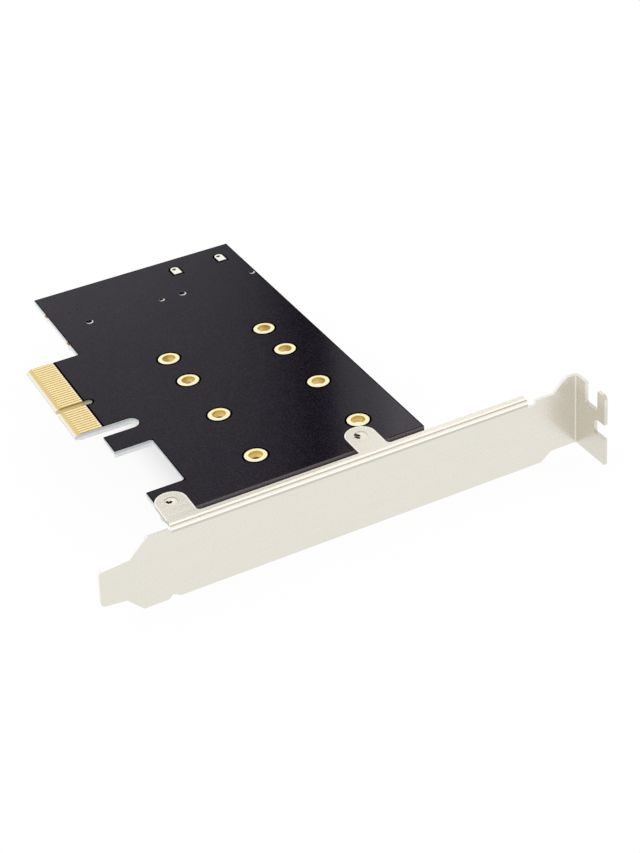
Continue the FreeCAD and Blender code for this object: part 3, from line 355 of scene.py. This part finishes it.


# The module holes: eight plated barrels with a ring on each face, and the mask held back around each ring.
# Immersion gold over nickel: creamy on the ring, faintly grainy; deep gold down the barrel,
# with painted shade and painted bounced light there.
immersion_gold, tree, shader, place = new_finish("immersion_gold_plating", Metallic=0.6)
normal = add(tree, "ShaderNodeNewGeometry").outputs["True Normal"]
upright = add(tree, "ShaderNodeMath", {0: add(tree, "ShaderNodeSeparateXYZ", {0: normal}).outputs["Z"]},
              operation="ABSOLUTE").outputs[0]
on_ring = add(tree, "ShaderNodeMath", {0: upright, 1: 0.5}, operation="GREATER_THAN").outputs[0]
nodules = add(tree, "ShaderNodeTexNoise", {"Vector": place, "Scale": 1000 / 0.25, "Detail": 2.0}).outputs[0]
# Down the barrel the gold is painted olive under the rim, a painted shade, and orange-yellow lower down,
# painted light bounced up the barrel
sink = add(tree, "ShaderNodeSeparateXYZ", {0: place}).outputs["Z"]
sink = add(tree, "ShaderNodeMapRange", {0: sink, 1: 0.0006, 2: 0.0014}).outputs[0]
lower_barrel_bounce_light = blend(tree, nodules, "#FFEAA0", "#FFD27C")
upper_barrel_shade = blend(tree, nodules, "#EED66C", "#C4A83E")
barrel_tone = blend(tree, sink, lower_barrel_bounce_light, upper_barrel_shade)
tone = blend(tree, on_ring, barrel_tone, blend(tree, nodules, "#FFFADA", "#FFF1BC"))
gloss = add(tree, "ShaderNodeMapRange", {0: nodules, 1: 0.3, 2: 0.7, 3: 0.42, 4: 0.55}).outputs[0]
grain = add(tree, "ShaderNodeBump", {"Height": nodules, "Distance": 0.000003})
coat(tree, shader, tone, gloss, grain.outputs[0])
HOLE_ROWS = (31.85, 57.65)
HOLE_LINES = (15.5, 35.5, 53.5, 65.5)
dress(immersion_gold, *[f"hole_liner_{row}_{step}" for row in "ab" for step in (2230, 2242, 2260, 2280)])

# The gap between ring and mask: a shallow dark moat whose floor is bare laminate
moat, tree, shader, place = new_finish("dark_mask_clearance", Specular_IOR_Level=0.0, Roughness=0.9)
specks = add(tree, "ShaderNodeTexNoise", {"Vector": place, "Scale": 1000 / 0.2}).outputs[0]
tree.links.new(blend(tree, specks, "#000000", "#0A0805"), shader.inputs["Base Color"])


def band_round(x, y, inner, outer, level, rise, steps=48):
    """A flat closed band round (x, y) from inner to outer radius: its section carried round a circle."""
    angle = -np.arange(steps) * 2 * np.pi / steps
    middle, half = (inner + outer) / 2, (outer - inner) / 2
    circle = np.stack((x + middle * np.cos(angle), y + middle * np.sin(angle), np.full(steps, level)),
                      axis=-1)
    root = -0.01 * np.sign(rise)
    section = [(half, root), (half * 0.9, rise), (-half * 0.9, rise), (-half, root)]
    return carried(circle, section if rise > 0 else section[::-1], closed=True)


moats = [band_round(x, y, 2.6, 3.16, level, rise) for x in HOLE_ROWS for y in HOLE_LINES
         for level, rise in ((BOARD_THICK, 0.015), (0.0, -0.015))]
make_piece("ring_clearances", moats, moat)


# The slot bracket: 0.86 mm cold-rolled steel, blanked, bent twice and then plated with satin nickel.
# Satin nickel: warm grey-white, with the sheet's faint rolling grain running along its length.
satin_nickel, tree, shader, place = new_finish("satin_nickel_plated_sheet", Metallic=1.0)
roll_way = add(tree, "ShaderNodeMapping", {"Vector": place, "Scale": (0.05, 1.0, 1.0)}).outputs[0]
roll = add(tree, "ShaderNodeTexNoise", {"Vector": roll_way, "Scale": 1000 / 0.8, "Detail": 1.0}).outputs[0]
bloom = add(tree, "ShaderNodeTexNoise", {"Vector": place, "Scale": 1000 / 22.0, "Detail": 1.0}).outputs[0]
sheen = blend(tree, bloom, blend(tree, roll, "#EBE7DF", "#E4E0D7"), "#E3E0D4")
# Faces that look up, the lip and its tabs, are painted brighter than the face: painted light from above
facing = add(tree, "ShaderNodeSeparateXYZ", {0: add(tree, "ShaderNodeNewGeometry").outputs["True Normal"]})
painted_top_light = add(tree, "ShaderNodeMapRange", {0: facing.outputs["Z"], 1: 0.2, 2: 0.9, 3: 0.0, 4: 0.85}).outputs[0]
sheen = blend(tree, painted_top_light, sheen, "#FBF5E8")
# A painted highlight lies along the lower half of the lip's bend, and a painted shade line on the face just
# under it
spot = add(tree, "ShaderNodeSeparateXYZ", {0: place}).outputs
along_lip = within(tree, spot["X"], 4.9, 93.3)
painted_bend_highlight = add(tree, "ShaderNodeMapRange", {0: spot["Z"], 1: 0.0019, 2: 0.0017}).outputs[0]
sheen = blend(tree, both(tree, painted_bend_highlight, both(tree, along_lip, within(tree, spot["Z"], 1.3, 2.0))), sheen,
              "#FFFFF8")
rising = add(tree, "ShaderNodeMapRange", {0: spot["Z"], 1: 0.0006, 2: 0.0009}).outputs[0]
falling = add(tree, "ShaderNodeMapRange", {0: spot["Z"], 1: 0.0012, 2: 0.0014, 3: 1.0, 4: 0.0}).outputs[0]
sheen = blend(tree, both(tree, both(tree, rising, falling), along_lip), sheen, "#CDC8BB")
# The flange, turned away from the light, is painted a tanner shade, all but its top
flange = add(tree, "ShaderNodeMapRange", {0: spot["X"], 1: 0.1055, 2: 0.1062}).outputs[0]
below_top = add(tree, "ShaderNodeMapRange", {0: spot["Z"], 1: 0.003, 2: 0.001}).outputs[0]
sheen = blend(tree, both(tree, flange, below_top), sheen, "#DCD7CD")
# Sheared edges lie within the sheet's 0.86 mm but face along it; plating builds up there and looks whiter
sideways = add(tree, "ShaderNodeMath", {0: facing.outputs["Y"]}, operation="ABSOLUTE").outputs[0]
is_edge = add(tree, "ShaderNodeMath", {0: sideways, 1: 0.1}, operation="LESS_THAN").outputs[0]
in_face = both(tree, is_edge, within(tree, spot["Y"], -0.1, 0.86))
in_face = both(tree, in_face, within(tree, spot["X"], -20.0, 105.0))
tone = blend(tree, in_face, sheen, "#F7F5EF")
# The sides of the tabs and of the lip are painted greyer, a painted shade on faces turned from the light
upright = add(tree, "ShaderNodeMath", {0: facing.outputs["Z"]}, operation="ABSOLUTE").outputs[0]
is_side = add(tree, "ShaderNodeMath", {0: upright, 1: 0.5}, operation="LESS_THAN").outputs[0]
tab_side = both(tree, is_side, within(tree, spot["Y"], 1.0, 12.5))
tone = blend(tree, tab_side, tone, "#B9B0A4")
gloss = add(tree, "ShaderNodeMapRange", {0: roll, 1: 0.3, 2: 0.7, 3: 0.24, 4: 0.3}).outputs[0]
grain = add(tree, "ShaderNodeBump", {"Height": roll, "Distance": 0.0000005})
coat(tree, shader, tone, gloss, grain.outputs[0])
dress(satin_nickel, "mounting_bracket")

# The shear leaves a rolled rim 0.3 mm wide round each tab, coloured near white as a painted highlight along
# its edge
rim_metal, tree, shader, place = new_finish("sheared_rim_painted_highlight", Metallic=0.25, Roughness=0.4)
burr = add(tree, "ShaderNodeTexNoise", {"Vector": place, "Scale": 1000 / 0.8}).outputs[0]
tree.links.new(blend(tree, burr, "#FFFFFC", "#E6DFD2"), shader.inputs["Base Color"])
TABS = ((8.5, 8.45), (54.6, 8.45))


def tab_rim(x, y, half=3.6, level=2.46):
    """A quarter-round rim along a tab's outline, up one side, round the end and down the other side."""
    route = [(x + half, 3.4), *arc_points(x, y, half, 0, 180, 24), (x - half, 2.3)]
    section = [(0.03, -0.14), (0.03, -0.03), (0.0, 0.015), (-0.22, 0.025), (-0.3, -0.01)]
    return carried([(px, py, level) for px, py in route], section)


make_piece("tab_rims", [tab_rim(x, y) for x, y in TABS], rim_metal, 60)


# Two machine screws come up through the board into the bracket's tapped tabs, nickel plated and tightened.
# Bright nickel: cooler and glossier than the sheet, with turning lines round the shank.
bright_nickel, tree, shader, place = new_finish("bright_nickel_plated_screw", Metallic=1.0)
turning = add(tree, "ShaderNodeTexNoise", {"Vector": place, "Scale": 1000 / 0.3, "Detail": 3.0}).outputs[0]
tone = blend(tree, turning, "#E4E2DC", "#C4C1B9")
gloss = add(tree, "ShaderNodeMapRange", {0: turning, 1: 0.3, 2: 0.7, 3: 0.16, 4: 0.32}).outputs[0]
grain = add(tree, "ShaderNodeBump", {"Height": turning, "Distance": 0.000004})
coat(tree, shader, tone, gloss, grain.outputs[0])
dress(bright_nickel, "bracket_screws")

# A rolled screw ends in a shallow crown with a dimple; the shade in the thread's roots is painted there as
# dark notches
screw_end = [(0, 2.34), (0.35, 2.35), (0.6, 2.4), (0.9, 2.43), (1.25, 2.42), (1.45, 2.38), (1.47, 2.1),
             (0, 2.09)]
# Rolled and tumbled, the crown is whiter and duller than the turned shank
tumbled, tree, shader, place = new_finish("tumbled_nickel_crown", Metallic=0.45)
dents = add(tree, "ShaderNodeTexNoise", {"Vector": place, "Scale": 1000 / 0.5, "Detail": 2.0}).outputs[0]
tone = blend(tree, dents, "#FFFDF4", "#DDD3BE")
gloss = add(tree, "ShaderNodeMapRange", {0: dents, 3: 0.3, 4: 0.5}).outputs[0]
coat(tree, shader, tone, gloss)
make_piece("screw_end_cones", [turned((x, y, 0), screw_end, 24) for x, y in TABS], tumbled, 20)


def notch(x, y, start, end, wide, level=2.425):
    """A dark low bar on the crown between two (x, y) offsets from its axis: painted shade in one root of the
    thread.
    """
    half = wide / 2
    bar = [(x + start[0], y + start[1], level), (x + end[0], y + end[1], level)]
    return carried(bar, [(half, -0.08), (half * 0.8, 0.05), (-half * 0.8, 0.05), (-half, -0.08)])


# Near black: painted shade in the thread's roots and in the locks' holes
painted_hollow_shade, tree, shader, place = new_finish("painted_shade_in_hollows", Roughness=0.6, Specular_IOR_Level=0.05)
shade_mottle = add(tree, "ShaderNodeTexNoise", {"Vector": place, "Scale": 1000 / 0.3}).outputs[0]
tree.links.new(blend(tree, shade_mottle, "#060302", "#24180F"), shader.inputs["Base Color"])
# One screw shows the root as a short wedge and the other, turned half round, as two dashes side by side
roots = ((((-0.95, 0.45), (-0.6, -0.5), 0.7), ((0.05, -0.02), (-0.6, -0.5), 0.7)),
         (((-1.02, 1.05), (-0.28, -0.15), 0.76), ((-1.4, 0.16), (-0.75, -1.06), 0.76)))
notches = [notch(x, y, *mark) for (x, y), marks in zip(TABS, roots) for mark in marks]
make_piece("thread_root_shade_notches", notches, painted_hollow_shade)


# Two module sockets under the board: glass-filled mouldings with a spring pin for every place of the edge
# card. Glass-filled liquid-crystal polymer: dull black with pale flow streaks and a fine tool texture.
socket_black, tree, shader, place = new_finish("moulded_glass_filled_polymer", Specular_IOR_Level=0.4)
flow_way = add(tree, "ShaderNodeMapping", {"Vector": place, "Scale": (0.2, 1.0, 1.0)}).outputs[0]
flow = add(tree, "ShaderNodeTexNoise", {"Vector": flow_way, "Scale": 1000 / 0.8, "Detail": 4.0}).outputs[0]
tool = add(tree, "ShaderNodeTexNoise", {"Vector": place, "Scale": 1000 / 0.12}).outputs[0]
tone = blend(tree, flow, "#131315", "#26262A")
gloss = add(tree, "ShaderNodeMapRange", {0: flow, 1: 0.3, 2: 0.7, 3: 0.42, 4: 0.6}).outputs[0]
grain = add(tree, "ShaderNodeBump", {"Height": tool, "Distance": 0.000006})
coat(tree, shader, tone, gloss, grain.outputs[0])
dress(socket_black, "m_key_socket_housing", "b_key_socket_housing")

# Pins of stamped bronze, gold at the spring end and matte tin where they are soldered
pin_metal, tree, shader, place = new_finish("stamped_bronze_pin_plating", Metallic=1.0)
stamp = add(tree, "ShaderNodeTexNoise", {"Vector": place, "Scale": 1000 / 0.15, "Detail": 2.0}).outputs[0]
depth = add(tree, "ShaderNodeSeparateXYZ", {0: place}).outputs["Z"]
# The solder climbs the lowest 0.45 mm of a pin's foot
soldered = add(tree, "ShaderNodeMapRange", {0: depth, 1: -0.00045, 2: -0.0003}).outputs[0]
tone = blend(tree, soldered, blend(tree, stamp, "#EBCB7C", "#C9A352"), "#C9CACB")
gloss = add(tree, "ShaderNodeMapRange", {0: stamp, 1: 0.3, 2: 0.7, 3: 0.22, 4: 0.36}).outputs[0]
coat(tree, shader, tone, gloss)
dress(pin_metal, "m_key_socket_contacts", "b_key_socket_contacts", "sata_header_contacts")

# Bright tin: white metal with soft crystal patches and a slightly melted skin
bright_tin, tree, shader, place = new_finish("reflowed_bright_tin", Metallic=1.0)
crystals = add(tree, "ShaderNodeTexVoronoi", {"Vector": place, "Scale": 1000 / 0.6}).outputs["Distance"]
tone = blend(tree, crystals, "#FFFDF4", "#ECE8DC")
gloss = add(tree, "ShaderNodeMapRange", {0: crystals, 1: 0.0, 2: 0.8, 3: 0.3, 4: 0.45}).outputs[0]
grain = add(tree, "ShaderNodeBump", {"Height": crystals, "Distance": 0.000006})
coat(tree, shader, tone, gloss, grain.outputs[0])
dress(bright_tin, "m_key_socket_holders", "b_key_socket_holders")


def feet_along(node, end_y):
    """The x of every foot's middle, in mm, from a pin node's corners at end_y on the board's face."""
    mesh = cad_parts[node].data
    corners = np.empty(len(mesh.vertices) * 3)
    mesh.vertices.foreach_get("co", corners)
    corners = corners.reshape(-1, 3) * 1000
    at_end = (np.abs(corners[:, 1] - end_y) < 0.05) & (np.abs(corners[:, 2]) < 0.02)
    sides = np.unique(corners[at_end, 0].round(2))
    return ((sides[0::2] + sides[1::2]) / 2).tolist()


def fillet(x, y, ahead, half):
    """Solder round a foot's end: a low wedge carried along y from (x, y), as far as ahead says."""
    section = [(-half, 0.01), (-half, -0.02), (-half * 0.6, -0.14),
               (half * 0.6, -0.14), (half, -0.02), (half, 0.01)]
    return carried([(x, y, 0.0), (x, y + ahead, 0.0)], section)


socket_feet = [fillet(x, y, ahead, 0.13) for socket in ("m_key", "b_key")
               for y, ahead in ((89.95, -0.25), (98.25, 0.25))
               for x in feet_along(socket + "_socket_contacts", y)]
header_feet = [fillet(x, 102.4, -0.35, 0.3) for x in feet_along("sata_header_contacts", 102.4)]
make_piece("pin_foot_fillets", socket_feet + header_feet, bright_tin)


# The drive header at the far edge: a moulded shroud with seven blades, held by two plated locks through the
# board. Its locks are soldered from above in D-shaped pads, where the solder stands as a low bright dome.
dress(socket_black, "sata_header_housing")
dress(bright_tin, "sata_board_locks")
# Hand-touched solder: whiter than tin because its crystallised skin scatters half the light
white_solder, tree, shader, place = new_finish("crystallised_white_solder", Metallic=0.35)
frost = add(tree, "ShaderNodeTexNoise", {"Vector": place, "Scale": 1000 / 0.5, "Detail": 3.0}).outputs[0]
tone = blend(tree, frost, "#FFFEF8", "#F3EEE0")
gloss = add(tree, "ShaderNodeMapRange", {0: frost, 3: 0.3, 4: 0.5}).outputs[0]
coat(tree, shader, tone, gloss)
dress(white_solder, "sata_lock_solder")


def pad_outline(x, y, half, near):
    """The D of a lock's pad: straight at the near end, round about (x, y) at the far end."""
    return [(x + half, y - near), *arc_points(x, y, half, 0, 180, 16), (x - half, y - near)]


def band_along(route, level, section):
    """A closed low band along a closed route."""
    return carried([(px, py, level) for px, py in route], section, closed=True)


LOCKS = ((51.2, 107.6), (64.1, 107.6))
# The mask's clearance climbs a little way over the solder's own rim, where flux left it dark
clearance = [(0.42, -0.01), (0.38, 0.012), (0.06, 0.03), (0.02, 0.088), (-0.14, 0.09), (-0.17, 0.02)]
make_piece("lock_pad_clearances", [band_along(pad_outline(x, y, 1.26, 2.86), BOARD_THICK, clearance)
                                   for x, y in LOCKS], moat)
# Round each lock's end the shade in its hole is painted as a dark well, a low disc with an open middle
well = [(0, 0.087), (0.3, 0.09), (0.46, 0.094), (0.5, 0.07), (0, 0.06)]
make_piece("lock_hole_shade_wells", [turned((x - 0.15, y - 0.05, BOARD_THICK), well, 20) for x, y in LOCKS],
           painted_hollow_shade)

# The peg holes of both sockets: the mask's opening sits a little towards the bracket, so a pale crescent of
# bare laminate shows on that side of each hole.
pale_laminate, tree, shader, place = new_finish("bare_glass_laminate", Roughness=0.7)
weave = add(tree, "ShaderNodeTexNoise", {"Vector": place, "Scale": 1000 / 0.25}).outputs[0]
tree.links.new(blend(tree, weave, "#F1EEE2", "#C2BEB0"), shader.inputs["Base Color"])


def crescent(x, y, inner, wide, toward, level, rise=0.012, steps=48):
    """A low band from radius inner to inner + 0.03 + wide * max(0, cos(a - toward)) at each angle a."""
    angle = np.arange(steps) * 2 * np.pi / steps
    outer = inner + 0.03 + wide * np.maximum(0, np.cos(angle - radians(toward)))
    radius = np.stack((np.full(steps, inner), outer, outer - 0.01, np.full(steps, inner + 0.01)), axis=-1)
    heights = np.array((-0.01, -0.01, rise, rise))
    points = np.stack((x + radius * np.cos(angle)[:, None], y + radius * np.sin(angle)[:, None],
                       np.broadcast_to(level + heights, radius.shape)), axis=-1).reshape(-1, 3)
    s, t = np.meshgrid(np.arange(steps), np.arange(4), indexing="ij")
    further, across = (s + 1) % steps, (t + 1) % 4
    quads = np.stack((s * 4 + t, s * 4 + across, further * 4 + across, further * 4 + t), axis=-1)
    return points, quads.reshape(-1, 4).tolist()


PEG_ROW = 94.35
pegs = [(row + side * 10.0, 0.8 if side < 0 else 0.55) for row in HOLE_ROWS for side in (-1, 1)]
rims = [crescent(x, PEG_ROW, radius + 0.02, 0.4, -70, BOARD_THICK) for x, radius in pegs]
make_piece("peg_hole_rims", rims, pale_laminate)


# Small parts on the component side, all reflowed: ceramic capacitors, glazed resistors, two lamps, two
# moulded capacitors, the regulator and its coil.
# Fired ceramic: tan, dry, speckled at 0.12 mm.
ceramic, tree, shader, place = new_finish("fired_tan_ceramic", Specular_IOR_Level=0.4)
specks = add(tree, "ShaderNodeTexNoise", {"Vector": place, "Scale": 1000 / 0.12, "Detail": 3.0}).outputs[0]
tone = blend(tree, specks, "#C8A276", "#A67F55")
gloss = add(tree, "ShaderNodeMapRange", {0: specks, 1: 0.3, 2: 0.7, 3: 0.4, 4: 0.6}).outputs[0]
coat(tree, shader, tone, gloss)
dress(ceramic, "coupling_capacitors")

# Glazed resistor: white alumina sides under a glossy black glaze
glaze, tree, shader, place = new_finish("black_glaze_on_alumina")
normal = add(tree, "ShaderNodeNewGeometry").outputs["True Normal"]
outward = add(tree, "ShaderNodeSeparateXYZ", {0: normal}).outputs["Z"]
on_top = add(tree, "ShaderNodeMath", {0: outward, 1: -0.9}, operation="LESS_THAN").outputs[0]
ripple = add(tree, "ShaderNodeTexNoise", {"Vector": place, "Scale": 1000 / 0.4}).outputs[0]
tone = blend(tree, on_top, blend(tree, ripple, "#E9E6DE", "#D5D1C6"), "#121214")
gloss = add(tree, "ShaderNodeMix", {0: on_top, 2: 0.6, 3: 0.18}).outputs[0]
skin = add(tree, "ShaderNodeBump", {"Height": ripple, "Distance": 0.000008})
coat(tree, shader, tone, gloss, skin.outputs[0])
dress(glaze, "chip_resistors")

# Lamp resin: water-clear with a cloudy yellow-green die below
lamp_resin, tree, shader, place = new_finish("clear_lamp_resin", Roughness=0.15, Coat_Weight=0.4)
haze = add(tree, "ShaderNodeTexNoise", {"Vector": place, "Scale": 1000 / 0.5}).outputs[0]
coat(tree, shader, blend(tree, haze, "#EDF0D8", "#C8D29A"))
dress(lamp_resin, "status_lamps")

# Moulding compound: charcoal epoxy with silica, eroded-tool texture at 0.15 mm
compound, tree, shader, place = new_finish("silica_filled_moulding_compound", Specular_IOR_Level=0.4)
silica = add(tree, "ShaderNodeTexNoise", {"Vector": place, "Scale": 1000 / 0.15, "Detail": 3.0}).outputs[0]
tone = blend(tree, silica, "#1B1B1D", "#2E2E31")
gloss = add(tree, "ShaderNodeMapRange", {0: silica, 1: 0.3, 2: 0.7, 3: 0.5, 4: 0.7}).outputs[0]
grain = add(tree, "ShaderNodeBump", {"Height": silica, "Distance": 0.00001})
coat(tree, shader, tone, gloss, grain.outputs[0])
dress(compound, "bulk_capacitors", "voltage_regulator", "power_inductor")
dress(bright_tin, "coupling_capacitor_ends", "chip_resistor_ends", "status_lamp_ends", "bulk_capacitor_leads",
      "regulator_leads", "inductor_ends")


# The studio: a white floor under the bracket's lowest edge, an even white room, and one broad soft lamp.
# The room has a dark gap between two soft lights behind the card, which the satin mask mirrors as a band.
floor_mesh = bpy.data.meshes.new("white_floor")
FLOOR_REACH = 6.0
floor_level = cad_box[0][2]
floor_corners = [(x * FLOOR_REACH, y * FLOOR_REACH, floor_level)
                 for x, y in ((-1, -1), (1, -1), (1, 1), (-1, 1))]
floor_mesh.from_pydata(floor_corners, [], [(0, 1, 2, 3)])
floor = bpy.data.objects.new("white_floor", floor_mesh)
bpy.context.scene.collection.objects.link(floor)

# White sweep: bright to the camera and to gloss, so that it reads as white, with a light shadow left in it
sweep = bpy.data.materials.new("white_paper_sweep")
sweep.use_nodes = True
sweep.cycles.emission_sampling = "NONE"
tree = sweep.node_tree
tree.nodes.clear()
ray = add(tree, "ShaderNodeLightPath").outputs
seen = add(tree, "ShaderNodeMath", {0: ray["Is Camera Ray"], 1: ray["Is Glossy Ray"]},
           operation="MAXIMUM").outputs[0]
seen = add(tree, "ShaderNodeMath", {0: seen, 1: ray["Is Transmission Ray"]}, operation="MAXIMUM").outputs[0]
share = add(tree, "ShaderNodeMath", {0: seen, 1: 0.95}, operation="MULTIPLY").outputs[0]
# Deep under the card the paper is painted a brownish shadow over the real shade it gets, which shows through
# the module holes
below = add(tree, "ShaderNodeSeparateXYZ", {0: add(tree, "ShaderNodeTexCoord").outputs["Object"]})
shade = 1.0
for axis, clear_of, deep_from, deep_to, clear_by in (("X", 14, 40, 44, 70), ("Y", 8, 42, 82, 116)):
    spot = below.outputs[axis]
    enters = add(tree, "ShaderNodeMapRange", {0: spot, 1: clear_of / 1000, 2: deep_from / 1000},
                 interpolation_type="SMOOTHSTEP").outputs[0]
    leaves = add(tree, "ShaderNodeMapRange", {0: spot, 1: deep_to / 1000, 2: clear_by / 1000, 3: 1.0, 4: 0.0},
                 interpolation_type="SMOOTHSTEP").outputs[0]
    shade = both(tree, shade, both(tree, enters, leaves))
open_floor = add(tree, "ShaderNodeMath", {0: 1.0, 1: shade}, operation="SUBTRACT").outputs[0]
share = both(tree, share, open_floor)
paper = add(tree, "ShaderNodeBsdfDiffuse", {"Color": blend(tree, shade, "#FAFAFA", "#6E5844")})
glow = add(tree, "ShaderNodeEmission", {"Color": (1.0, 1.0, 1.0, 1.0), "Strength": 1.0})
mixed = add(tree, "ShaderNodeMixShader", {0: share, 1: paper.outputs[0], 2: glow.outputs[0]})
# From underneath the sheet is clear, so the component side can be looked at from there
under = add(tree, "ShaderNodeNewGeometry").outputs["Backfacing"]
clear = add(tree, "ShaderNodeBsdfTransparent")
sheet = add(tree, "ShaderNodeMixShader", {0: under, 1: mixed.outputs[0], 2: clear.outputs[0]})
add(tree, "ShaderNodeOutputMaterial", {"Surface": sheet.outputs[0]})
floor_mesh.materials.append(sweep)

# The room as gloss sees it. By compass way, in degrees from +Y towards +X, two soft lights with a gap between
# them; and by the way up and over, in degrees from the back horizon over the top to the front one, a bright
# ceiling light with darker gaps before and behind it.
COMPASS = [(-12, 0.95), (2, 1.1), (8, 1.35), (12.5, 1.2), (14.4, 0.78), (16.4, 0.72), (17.2, 0.73),
           (19.5, 0.64), (20.7, 0.58), (21.4, 0.52), (22.2, 0.41), (22.9, 0.23), (23.5, 0.08), (23.8, 0.0),
           (24.4, 0.0), (24.7, 0.2), (25.05, 0.68), (25.6, 0.9), (26.4, 1.05), (27.0, 1.75), (28.0, 2.0),
           (28.7, 0.85), (34, 0.85)]
WARM = (1.0, 0.92, 0.78)
GREY = (1.0, 1.0, 1.0)
OVERHEAD = [(0, 1.15), (25, 1.15), (31, 0.95), (40, 0.95), (47, 1.1), (98, 1.2), (108, 0.45, WARM),
            (124, 0.45, WARM), (134, 1.3), (180, 1.1)]


def by_angle(tree, angle, stops):
    """The light along an angle in radians, from stops of degrees, brightness and a tint where it has one."""
    first, last = stops[0][0], stops[-1][0]
    turn = add(tree, "ShaderNodeMapRange", {0: angle, 1: radians(first), 2: radians(last)}).outputs[0]
    shades = add(tree, "ShaderNodeValToRGB", {0: turn})
    ramp = shades.color_ramp.elements
    while len(ramp) < len(stops):
        ramp.new(1.0)
    for stop, (degrees, brightness, *tint) in zip(ramp, stops):
        stop.position = (degrees - first) / (last - first)
        # A ramp holds up to 1, so it is kept at half and doubled after
        stop.color = (*[brightness * part / 2 for part in (tint[0] if tint else GREY)], 1.0)
    return shades.outputs[0]


world = bpy.data.worlds.new("white_room")
bpy.context.scene.world = world
world.use_nodes = True
tree = world.node_tree
tree.nodes.clear()
way = add(tree, "ShaderNodeSeparateXYZ", {0: add(tree, "ShaderNodeTexCoord").outputs["Generated"]}).outputs
compass = add(tree, "ShaderNodeMath", {0: way["X"], 1: way["Y"]}, operation="ARCTAN2").outputs[0]
overhead = add(tree, "ShaderNodeMath", {0: way["Z"], 1: way["Y"]}, operation="ARCTAN2").outputs[0]
low_down = add(tree, "ShaderNodeMath", {0: way["Z"], 1: 0.8}, operation="LESS_THAN").outputs[0]
gap = blend(tree, low_down, (0.5, 0.5, 0.5, 1.0), by_angle(tree, compass, COMPASS))
sky = add(tree, "ShaderNodeMix", {0: 1.0, 6: gap, 7: by_angle(tree, overhead, OVERHEAD)}, data_type="RGBA",
          blend_type="MULTIPLY").outputs[2]
# Both ramps hold half their light, so the room takes four times their product; the eye sees plain white
direct = add(tree, "ShaderNodeLightPath").outputs["Is Camera Ray"]
strength = add(tree, "ShaderNodeMix", {0: direct, 2: 4.0, 3: 1.0}).outputs[0]
room = blend(tree, direct, sky, (1.0, 1.0, 1.0, 1.0))
backdrop = add(tree, "ShaderNodeBackground", {"Color": room, "Strength": strength})
add(tree, "ShaderNodeOutputWorld", {"Surface": backdrop.outputs[0]})

# The soft lamp: 0.9 m square, 0.8 m above the card, out of gloss so that it leaves no patch on the mask
lamp_light = bpy.data.lights.new("soft_lamp", "AREA")
lamp_light.shape = "SQUARE"
lamp_light.size = 0.9
lamp_light.energy = 0.8
lamp = bpy.data.objects.new("soft_lamp", lamp_light)
lamp.location = (-0.05, 0.0, 0.8)
lamp.rotation_euler = (radians(6), radians(-6), 0)
lamp.visible_glossy = False
bpy.context.scene.collection.objects.link(lamp)

# The camera stands in front of the bracket and to its left, looking 33 degrees down at the solder side
camera_data = bpy.data.cameras.new("camera")
camera_data.sensor_fit = "HORIZONTAL"
camera_data.sensor_width = 36.0
camera_data.lens = 98.62
camera_data.clip_start = 0.01
camera = bpy.data.objects.new("camera", camera_data)
camera.matrix_world = Matrix(((0.88872, 0.30525, -0.34203, -0.08669),
                              (-0.45193, 0.45803, -0.76548, -0.28609),
                              (-0.07700, 0.83487, 0.54502, 0.21800),
                              (0.0, 0.0, 0.0, 1.0)))
bpy.context.scene.collection.objects.link(camera)
bpy.context.scene.camera = camera
bpy.context.scene.view_settings.view_transform = "Standard"
